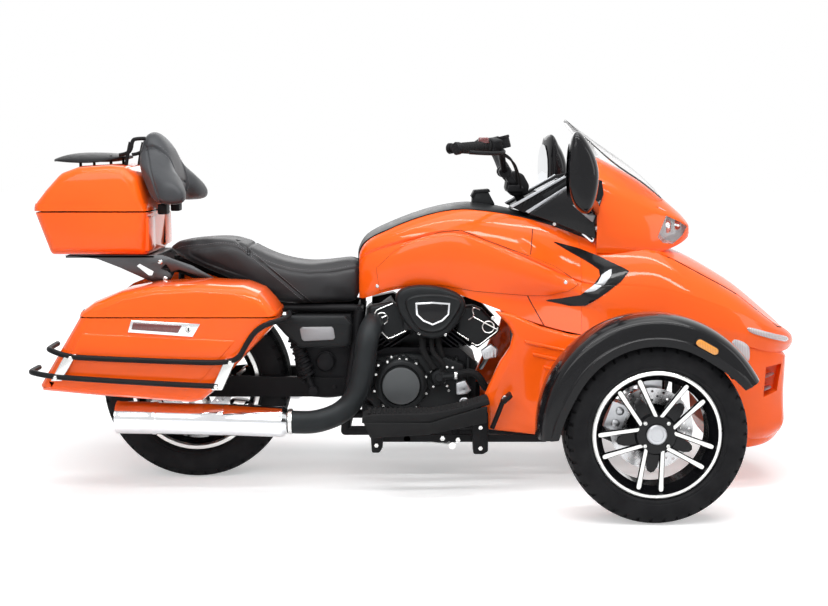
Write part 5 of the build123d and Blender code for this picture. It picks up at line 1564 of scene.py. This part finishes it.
# heads and their covers on both sides, with machined lines
heads, lines = [], []
for key in ("rearCover", "frontCover"):
    head = skin(key, stack(engineLook[key], ((-120, 2), (-160, 0), (-174, 2), (-180, 8))))
    heads.append(bevelled(head, 5, 3, angle_limit=math.radians(25)))
for circle, bar in (((-134, 576), [(-167, 566), (-116, 587)]), ((228, 547), [(175, 583), (257, 539)])):
    lines.append(line("circle", arc(circle, 20, 0, 360, 20), 2, -181))
    lines.append(line("bar", bar, 2, -181))
lines.append(line("outline", [(-97, 628), (-151, 606), (-169, 576), (-163, 560), (-112, 505), (-50, 535)],
                  2.2, -181))
lines.append(line("outline", [(121, 529), (161, 502)], 2.2, -181))
lines.append(line("outline", [(171, 493), (192, 481), (259, 533), (260, 547)], 2.2, -181))
lines.append(line("curl", [(160, 572), (181, 583), (172, 603), (178, 618), (199, 606)], 2, -181, 3))
headSkins = smooth(joined("headCovers", heads), 34)
dress(bothSides("headCovers", headSkins), "satin", slot="engine_black")
dress(bothSides("headLines", joined("headLines", lines)), "line", slot="alloy")

fins = []
for turn in (-33, 37):
    for k in range(7):
        fin = block("fin", (-66, -172, 176 + 13 * k), (66, 172, 180 + 13 * k), 1.2, 1)
        fin.data.transform(about((0, 0, 330), turn) @ Matrix.Translation((0, 0, 0.330)))
        fins.append(fin)
fins = joined("coolingFins", fins)
keepZone = skin("finZone", [[(-196, y, 476), (-4, y, 474), (4, y, 474), (230, y, 476), (262, y, 560),
                             (190, y, 625), (-140, y, 625),
                             (-196, y, 560)] for y in (-150, 150)])
cutBy(fins, keepZone, "INTERSECT")
dress(fins, "cast", slot="engine_black")

# side cover with its clutch cap, on both sides
plate = skin("casePlate", stack(engineLook["plate"], ((-138, 0), (-166, 0), (-173, 4), (-176, 12))))
bevelled(plate, 6, 3, angle_limit=math.radians(25))
cx, cz = engineLook["clutch"]
ring = turned("clutchRing", (cx, 0, cz), [(94, -150), (92, -196), (86, -208), (76, -214), (70, -214),
                                          (69, -208), (66, -208),
                                          (66, -222), (63, -228), (56, -230), (2, -230)], 64)
bumps = [turned("boss", (x, 0, z), [(12, -150), (11, -196), (8, -200), (1, -200)], 16)
         for x, z in engineLook["caseBolts"]]
pump = turned("waterPump", (60, 0, 378), [(32, -150), (30, -196), (24, -206), (14, -208), (12, -216),
                                          (1, -216)], 32)
neck = pipe("pumpNeck", [(60, -200, 378), (85, -200, 380), (112, -200, 382)], 12, 4, 12, 2)
sump = skin("sump", stack([(-190, 208), (150, 208), (186, 262), (178, 300), (-60, 268), (-196, 280)],
                          ((-136, 0), (-150, 1), (-158, 8))))
stayBits = [block("rib", (x - 4, -168, 300), (x + 4, -140, 440), 2) for x in (120, 160)]
covers = smooth(joined("engineCoverSkins", [plate, ring, pump, neck, sump] + bumps + stayBits), 34)
covers = dress(bothSides("engineCoverSkins", covers), "satin", slot="engine_black", stands=["engine_covers"])
recoat(covers, "cap", lambda normal, at: abs(normal.y) > 0.6 and abs(at.y) > 219 and math.hypot(at.x - cx,
    at.z - cz) < 64)

# Gearbox and battery tray between the side covers and the rear tyre
gearLook = {"outline": [(-440, 586), (-238, 586), (-222, 440), (-210, 330), (-300, 300), (-392, 306),
                        (-430, 340), (-438, 420)],
            "ys": [(108, 0), (116, 4), (118, 12)], "starter": (-330, 420, 34),
            "bolts": [(-405, 350), (-300, 330), (-248, 372), (-250, 470), (-410, 470)]}
gearbox = skin("gearbox", stack(gearLook["outline"], reversed(gearLook["ys"]), -1)
               + stack(gearLook["outline"], gearLook["ys"]))
bevelled(gearbox, 5, 3, angle_limit=math.radians(30))
gx, gz, gr = gearLook["starter"]
extras = []
for s in (-1, 1):
    motor = [(gr, s * 100), (gr, s * 136), (gr - 6, s * 144), (gr - 20, s * 148), (1, s * 148)]
    extras.append(turned("starter", (gx, 0, gz), motor, 32))
    for x, z in gearLook["bolts"]:
        extras.append(turned("boss", (x, 0, z), [(9, s * 110), (8, s * 126), (5, s * 128), (1, s * 128)], 16))
    for k in range(5):
        extras.append(block("fin", (-428 + 34 * k, min(s * 112, s * 124), 500),
                            (-416 + 34 * k, max(s * 112, s * 124), 570), 2))
dress(smooth(joined("gearboxSkin", [gearbox] + extras), 34), "cast", slot="engine_black")
bolts = [capScrew(x, -200, z, 5, 6) for x, z in engineLook["caseBolts"]]
bolts += [capScrew(x, -174, z, 5, 6) for x, z in engineLook["blockBolts"]]
triangle = slab("sensorCover", [(117, 357), (150, 368), (172, 333), (155, 318), (120, 314)], -196, -170, 5, 3)
plugRing = turned("plugRing", (147, 0, 287), [(17, -150), (17, -182), (14, -184), (12, -182), (12, -178),
                                              (1, -178)], 24)
plug = turned("plug", (147, 0, 287), [(10, -170), (10, -188), (8, -190), (1, -190)], 6)
dress(bothSides("engineBolts", joined("engineBolts", bolts + screws[1:] + [plug])), "bolt", slot="steel")
dress(screws[0], "bolt", slot="steel")
dress(bothSides("sensorCovers", joined("sensorCover", [triangle, plugRing])), "alloy", slot="alloy")

# hoses, one clamp and the finned regulator beside the front cylinder
hoses = [pipe("hose", [(6, -190, 516), (4, -200, 490), (8, -204, 463), (28, -204, 430), (44, -200, 408)],
              12, 6, 12),
         pipe("hose", [(34, -196, 516), (34, -206, 498), (38, -212, 463), (70, -214, 432), (78, -206, 412),
                       (64, -200, 398)],
              8, 6, 12),
         pipe("hose", [(55, -180, 512), (57, -188, 494), (66, -190, 461), (70, -184, 448)], 11, 5, 12),
         pipe("hose", [(110, -200, 382), (140, -204, 392), (166, -208, 398), (196, -206, 382),
                       (212, -196, 350), (226, -170, 330),
                       (300, -150, 336)], 13, 6, 12)]
dress(joined("coolantHoses", hoses), "rubber", slot="black_plastic")
clamp = turned("clamp", (117, -200, 384), [(15, -5), (15.6, -5), (15.6, 5), (15, 5)], 24, "X", closed=True)
clampScrew = block("clampScrew", (112, -222, 378), (122, -212, 390), 1.5)
dress(joined("hoseClamps", [clamp, clampScrew]), "bolt", slot="steel")
regulator = [slab("regBody", [(200, 470), (233, 494), (260, 476), (256, 452), (212, 440)], -226, -196, 4)]
for k in range(5):
    x, top = 208 + 10 * k, 466 + 3 * k
    regulator.append(slab("regFin", [(x, top), (x + 4, top), (x + 4, 450), (x, 450)], -232, -222, 1))
regulator.append(pipe("regStay", [(228, -205, 455), (215, -170, 420), (205, -140, 400)], 7, 4, 10))
dress(joined("regulator", regulator), "alloy", slot="alloy")

# Exhaust: bends as one swept tube a side, clamp bands, then the silencers with their caps
exhaustLook = {"route": [(-150, 66, 550), (-160, 130, 560), (-166, 205, 556), (-180, 250, 528),
                         (-186, 258, 480), (-196, 258, 400),
                         (-214, 258, 330), (-262, 268, 270), (-340, 306, 246), (-400, 328, 247),
                         (-458, 330, 252)],
               "front": (-452, 252), "rear": (-1026, 267)}
route = pipe("exhaustPipe", [(x, -y, z) for x, y, z in exhaustLook["route"]], 38, 8, 24)
narrow = pipe("headerPipe", [(x, -y, z) for x, y, z in exhaustLook["route"][:3]], 30, 4, 20)
dress(bothSides("exhaustSkins", joined("exhaust", [route, narrow])), "pipe", slot="engine_black",
      stands=["exhaust_pipes"])
(fx, fz), (rx, rz) = exhaustLook["front"], exhaustLook["rear"]
slope = math.degrees(math.atan2(rz - fz, fx - rx))
profile = [(36, 12), (44, 2), (52, -8), (52, -200), (51, -202), (52, -204), (52, -420), (55, -424),
           (55, -434), (53.5, -438),
           (53.5, -548), (55, -551), (55, -556), (48, -557), (46, -550), (42, -450), (2, -450)]
muffler = turned("muffler", (fx, -330, fz), profile, 64, "X")
muffler.data.transform(about((fx, -330, fz), slope))
dress(bothSides("mufflerSkins", muffler), "chrome", slot="chrome", stands=["mufflers"])
bore = turned("mufflerBore", (fx, -330, fz), [(45.4, -554), (41.5, -452), (30, -451), (1, -451)], 40, "X")
bore.data.transform(about((fx, -330, fz), slope))
band = turned("exhaustBand", (fx + 18, -330, fz), [(41, -6), (42.5, -6), (42.5, 6), (41, 6)], 40, "X",
              closed=True)
dress(bothSides("mufflerBores", bore), "pipe", slot="engine_black")
dress(bothSides("exhaustBands", band), "bolt", slot="steel")

# Footboards: curved plate, ridged rubber, brackets with bolts, pedal and brake linkage
boardLook = {"top": [(-196, 280), (-160, 290), (28, 293), (120, 310), (215, 340)],
             "under": [(225, 322), (120, 290), (28, 262), (-186, 254)]}
board = slab("footboard", boardLook["top"] + boardLook["under"], -400, -297, 6, 3)
pads = []
for k in range(22):
    x = -176 + 17 * k
    z = 291 + max(0, x - 28) * 0.2 + max(0, x - 120) * 0.09
    pads.append(block("ridge", (x, -392, z - 3), (x + 9, -306, z + 4), 2, 1))
skirt = slab("boardSkirt", [(-190, 262), (30, 262), (214, 318), (214, 262), (24, 222), (-168, 210)], -404,
             -392, 5, 3)
dress(bothSides("footboardSkins", joined("footboard", [board, skirt] + pads)), "rubber", slot="frame_black",
      stands=["footboards"])
brackets = [slab("boardBracket", [(-172, 250), (-129, 252), (-129, 160), (-140, 142), (-166, 142)], -320,
                 -252, 5),
            slab("boardBracket", [(165, 280), (222, 280), (222, 147), (206, 137), (173, 137)], -320, -252, 5)]
dress(bothSides("boardBrackets", joined("brackets", brackets)), "frame", slot="frame_black")
pedal = [pipe("pedalArm", [(273, -334, 333), (262, -330, 300), (246, -328, 258), (234, -326, 228)], 8, 5, 12),
         slab("pedalPad", [(262, 326), (290, 352), (300, 344), (272, 318)], -384, -316, 5)]
dress(bothSides("pedals", joined("pedal", pedal)), "frame", slot="frame_black")
linkage = [pipe("link", [(-125, -262, 183), (-48, -262, 180), (22, -262, 170), (104, -262, 158)], 6, 4, 10,
                2),
           turned("linkJoint", (-48, 0, 179), [(11, -272), (11, -252)], 20),
           turned("linkJoint", (104, 0, 156), [(12, -272), (12, -252)], 20)]
dress(bothSides("brakeLinkage", joined("linkage", linkage)), "bolt", slot="steel")
bolts = [capScrew(x, -322, z, 8, 7) for x, z in ((-150, 170), (-150, 230), (196, 160), (196, 230))]
bolts += [capScrew(x, -272, z, 9, 7) for x, z in ((71, 182), (123, 177), (200, 155), (234, 228))]
bolts.append(capScrew(273, -342, 333, 9, 8))
dress(bothSides("boardBolts", joined("boardBolts", bolts)), "bolt", slot="steel")
print("engine and exhaust")

# Mirrors: a rounded housing with its glass, on a short arm
mirrorLook = {"outline": [(450, 1060), (452, 1112), (460, 1176), (470, 1206), (498, 1208), (526, 1180),
                          (552, 1138), (570, 1083),
                          (568, 1024), (554, 966), (534, 938), (504, 946), (472, 972), (455, 1018)],
                          "slant": 0.34, "back": 8,
              "rows": [(368, 26), (378, 12), (400, 2), (452, 0), (480, 10), (494, 26)]}
head = skin("mirrorHead", stack(mirrorLook["outline"], mirrorLook["rows"], -1), levels=2)


def slantBack(piece):
    # turns the glass side inboard: its inner end moves forward
    for vert in piece.data.vertices:
        share = min(max((530 - vert.co.x * 1000) / 80, 0), 1)
        vert.co.x += share * (0.496 + vert.co.y) * mirrorLook["slant"] - mirrorLook["back"] * mm
    return piece


slantBack(head)
arm = skin("mirrorArm", [[(x, -y, z) for x, z in ((a, c), (b, c), (b, d), (a, d))] for y, a, b, c, d in
                         ((176, 556, 606, 916, 966), (240, 545, 588, 934, 976), (320, 524, 560, 960, 994),
                          (392, 504, 540, 980, 1014))],
           creases={k: 0.4 for k in range(4)}, levels=2)
mirrorSkin = smooth(joined("mirrorSkin", [head, arm]), 40)
dress(bothSides("mirrorSkins", mirrorSkin), "black", slot="gloss_plastic", stands=["mirrors"])
faceOutline = ((-1, 1046), (-0.9, 1130), (-0.4, 1176), (0.4, 1174), (0.9, 1120), (1, 1030), (0.4, 985),
               (-0.5, 985))
face = skin("mirrorFace", [[(x, -432 + y * 52, z) for y, z in faceOutline] for x in (456, 450)], levels=1)
dress(bothSides("mirrorFaces", smooth(slantBack(face), 30)), "mirror", slot="chrome")

# Handlebar: bent tube, riser clamp, grips, switches, levers and cables
barLook = {"half": [(290, 0, 1064), (288, 40, 1066), (282, 90, 1084), (270, 160, 1124), (256, 240, 1152),
                    (236, 300, 1161),
                    (190, 344, 1157), (118, 393, 1150), (112, 397, 1150)],
           "lever": [(252, 296, 1150), (268, 318, 1142), (262, 352, 1136), (226, 392, 1134), (176, 430, 1136),
                     (150, 446, 1138)],
           "cables": [(4, [(244, 286, 1144), (286, 240, 1130), (318, 160, 1086), (326, 90, 1044),
                           (334, 50, 1016),
                           (346, 26, 985), (352, 20, 958)]),
                      (3.2, [(238, 300, 1140), (300, 250, 1118), (330, 150, 1064), (340, 80, 1020),
                             (352, 44, 986),
                             (358, 30, 958)])]}
barParts = []
for s in (-1, 1):
    barParts.append(pipe("bar", [(x, s * y, z) for x, y, z in barLook["half"]], 12, 8, 16))
barParts.append(pipe("column", [(444, 0, 765), (332, 0, 1006)], 16, 2, 20, 2))
barParts.append(pipe("neck", [(332, 0, 1004), (320, 0, 1030), (300, 0, 1056), (290, 0, 1066)], 17, 5, 16))
barParts.append(slab("clampLow", [(296, 1000), (352, 1000), (352, 1018), (340, 1026), (300, 1026)], -78, 78,
                     6, 3))
for y in (-56, 56):
    barParts.append(skin("riser", [[(x + a, y + b, z) for a, b in ((-15, -14), (15, -14), (15, 14),
        (-15, 14))]
                                   for x, z in ((322, 1018), (304, 1050), (288, 1078))],
                                   creases={k: 0.5 for k in range(4)},
                         levels=2))
    barParts.append(turned("clampCap", (288, 0, 1070), [(20, y - 17), (21, y - 14), (21, y + 14),
        (20, y + 17)], 24))
barSkin = smooth(joined("handlebarSkin", barParts), 35)
dress(barSkin, "frame", "handlebar", "frame_black", ["handlebar"])
grips, metal, switches = [], [], []
for s in (-1, 1):
    a, b = Vector((212, s * 328, 1159)), Vector((120, s * 392, 1151))
    toward = (b - a).normalized()
    turn = Vector((1, 0, 0)).rotation_difference(toward).to_matrix().to_4x4()
    place = Matrix.Translation(a * mm) @ turn
    length = (b - a).length
    profile = [(12, -4), (21, -3), (22, 3), (17, 6)]
    for k in range(10):
        along = 8 + (length - 16) * k / 10
        profile += [(17.5, along), (17.5, along + 6), (16.3, along + 7), (16.3, along + 8.5)]
    profile += [(18, length - 4), (18, length), (12, length + 1)]
    grip = turned("grip", (0, 0, 0), profile, 28, "X")
    grip.data.transform(place)
    grips.append(grip)
    cone = [(13, length), (20, length + 2), (21, length + 14), (18, length + 18), (2, length + 19)]
    end = turned("barEnd", (0, 0, 0), cone, 28, "X")
    end.data.transform(place)
    metal.append(end)
    pod = block("switchPod", (-46, -22, -26), (-6, 24, 22), 7, 3)
    pod.data.transform(place)
    switches.append(pod)
    lever = pipe("lever", [(x, s * y, z) for x, y, z in barLook["lever"]], 6.5, 6, 12)
    perch = block("perch", (232, min(s * 272, s * 310), 1138), (264, max(s * 272, s * 310), 1164), 6, 3)
    metal.append(lever)
    switches.append(perch)
    foot = (270, s * 262, 1150)
    reservoir = turned("reservoir", foot, [(24, 0), (25, 4), (25, 32), (27, 33), (27, 39), (25, 41),
                                           (1, 41)], 28, "Z")
    reservoir.data.transform(about(foot, -14))
    switches.append(reservoir)
dress(joined("grips", grips), "rubber", "handlebar", "black_plastic")
dress(joined("leversAndEnds", metal), "frame", "handlebar", "frame_black")
dress(joined("switchPods", switches), "plastic", "handlebar", "black_plastic")
dress(block("stopButton", (182, -352, 1166), (216, -326, 1186), 4, 3), "red", "handlebar", "red_lens")
meterOutline = [(292, 1010), (300, 1062), (322, 1074), (352, 1062), (374, 1022), (366, 992), (318, 984)]
dress(slab("meterPod", meterOutline, -62, 62, 8, 4), "plastic", "handlebar", "black_plastic")
lines = []
for s in (-1, 1):
    for radius, route in barLook["cables"]:
        lines.append(pipe("cable", [(x, s * y, z) for x, y, z in route], radius, 8, 8))
dress(joined("barLines", lines), "rubber", "handlebar", "black_plastic")

# Suspension springs over the shock bodies
def spring(name, start, end, radius, wire, turns):
    a, b = Vector(start), Vector(end)
    along = (b - a).normalized()
    side = along.orthogonal().normalized()
    other = along.cross(side)
    points = []
    for k in range(turns * 10 + 1):
        turn = 2 * math.pi * k / 10
        ring = side * radius * math.cos(turn), other * radius * math.sin(turn)
        points.append(a + (b - a) * k / (turns * 10) + ring[0] + ring[1])
    return pipe(name, [tuple(p) for p in points], wire, 2, 8)


rearSprings = [spring("rearSpring", (-386, s * 150, 364), (-436, s * 150, 514), 24, 5, 7) for s in (-1, 1)]
dress(joined("rearSprings", rearSprings), "frame", slot="chrome")
frontSprings = [spring("frontSpring", (717, s * 350, 240), (717, s * 210, 414), 30, 6, 7) for s in (-1, 1)]
dress(joined("frontSprings", frontSprings), "chrome", slot="steel")

# Rear end: the blank plate and its screws
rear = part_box("tail_lamp")
lampX = rear[0][0] * 1000
dress(block("blankPlate", (lampX - 3, -88, 352), (lampX + 0.5, 88, 462), 1.5), "line", slot="alloy")
plateScrews = [turned("plateScrew", (lampX - 3, y, 440), [(5, 2), (5, -2), (3, -3.5), (1, -3.5)], 12, "X")
               for y in (-70, 70)]
dress(joined("plateScrews", plateScrews), "bolt", slot="steel")
print("controls")

# Camera, floor and light
photoSize = (828, 606)
cameraSet = {"place": (-0.025, -4.6, 1.15), "pitch": 6.72, "focal": 1311, "sensor": 36}
bpy.ops.object.camera_add(location=cameraSet["place"], rotation=(math.radians(90 - cameraSet["pitch"]), 0, 0))
camera = bpy.context.active_object
camera.data.sensor_width = cameraSet["sensor"]
camera.data.lens = cameraSet["focal"] / photoSize[0] * cameraSet["sensor"]
camera.data.clip_end = 100
bpy.context.scene.camera = camera

lampSet = [  # name, place, energy, width, height, aims at
    ("topSoft", (0.2, -0.4, 3.6), 72, 4.2, 2.6, (0, 0, 0.4)),
    ("stripNear", (0.1, -2.2, 3.0), 52, 4.6, 0.16, (0, 0, 0.6)),
    ("stripTop", (0.1, -0.9, 3.4), 46, 4.6, 0.14, (0, 0, 0.6)),
    ("nearSoft", (-1.5, -4.2, 2.6), 60, 3.0, 1.6, (0, 0, 0.6)),
    ("noseSoft", (4.2, -2.2, 2.0), 30, 1.8, 1.8, (0.6, 0, 0.5)),
    ("farSoft", (-1.0, 4.2, 2.6), 34, 3.0, 1.6, (0, 0, 0.5)),
]
for name, place, energy, width, height, target in lampSet:
    bpy.ops.object.light_add(type="AREA", location=place)
    lamp = bpy.context.active_object
    lamp.name = name
    lamp.data.shape = "RECTANGLE"
    lamp.data.size = width
    lamp.data.size_y = height
    lamp.data.energy = energy
    lamp.rotation_euler = (Vector(target) - Vector(place)).to_track_quat("-Z", "Y").to_euler()


def whiteRays(tree):
    # 1 for the rays that the viewer sees directly, in a mirror or through glass
    path = tree.nodes.new("ShaderNodeLightPath")
    total = path.outputs["Is Camera Ray"]
    for output in ("Is Glossy Ray", "Is Transmission Ray"):
        either = tree.nodes.new("ShaderNodeMath")
        either.operation = "MAXIMUM"
        tree.links.new(total, either.inputs[0])
        tree.links.new(path.outputs[output], either.inputs[1])
        total = either.outputs[0]
    return total


def shades(tree, factor, first, second):
    mix = tree.nodes.new("ShaderNodeMix")
    mix.data_type = "RGBA"
    tree.links.new(factor, mix.inputs[0])
    for socket, value in ((mix.inputs[6], first), (mix.inputs[7], second)):
        if isinstance(value, tuple):
            socket.default_value = value
        else:
            tree.links.new(value, socket)
    return mix.outputs[2]


roomLook = {"lit": tint(0.22, 0.23, 0.24), "seen": tint(1, 1, 1), "floor": tint(0.86, 0.86, 0.86),
            "near": tint(0.42, 0.42, 0.42),
            "far": tint(0.9, 0.9, 0.9), "clear": 0.05, "full": 0.16}
world = bpy.data.worlds.new("studio")
bpy.context.scene.world = world
world.use_nodes = True
tree = world.node_tree
tree.links.new(shades(tree, whiteRays(tree), roomLook["lit"], roomLook["seen"]),
               tree.nodes["Background"].inputs["Color"])

bpy.ops.mesh.primitive_plane_add(size=60, location=(0, 0, -0.0005))
floor = bpy.context.active_object
floor.name = "floor"
floorPaint = Shader("paleFloor", Roughness=0.9, Specular_IOR_Level=0.0, Emission_Strength=1.0,
                    Base_Color=roomLook["floor"])
reach = floorPaint.node("ShaderNodeVectorMath", {"operation": "LENGTH"}, [floorPaint.place], output="Value")
away = floorPaint.ramp(reach * (1 / 30), roomLook["clear"], roomLook["full"])
glow = shades(floorPaint.tree, away.socket, roomLook["near"], roomLook["far"])
floorPaint.plug(Signal(floorPaint, shades(floorPaint.tree, whiteRays(floorPaint.tree), tint(0, 0, 0), glow)),
                floorPaint.surface.inputs["Emission Color"])
floor.data.materials.append(floorPaint.material)

bpy.context.scene.view_settings.view_transform = "Standard"
print("scene ready")
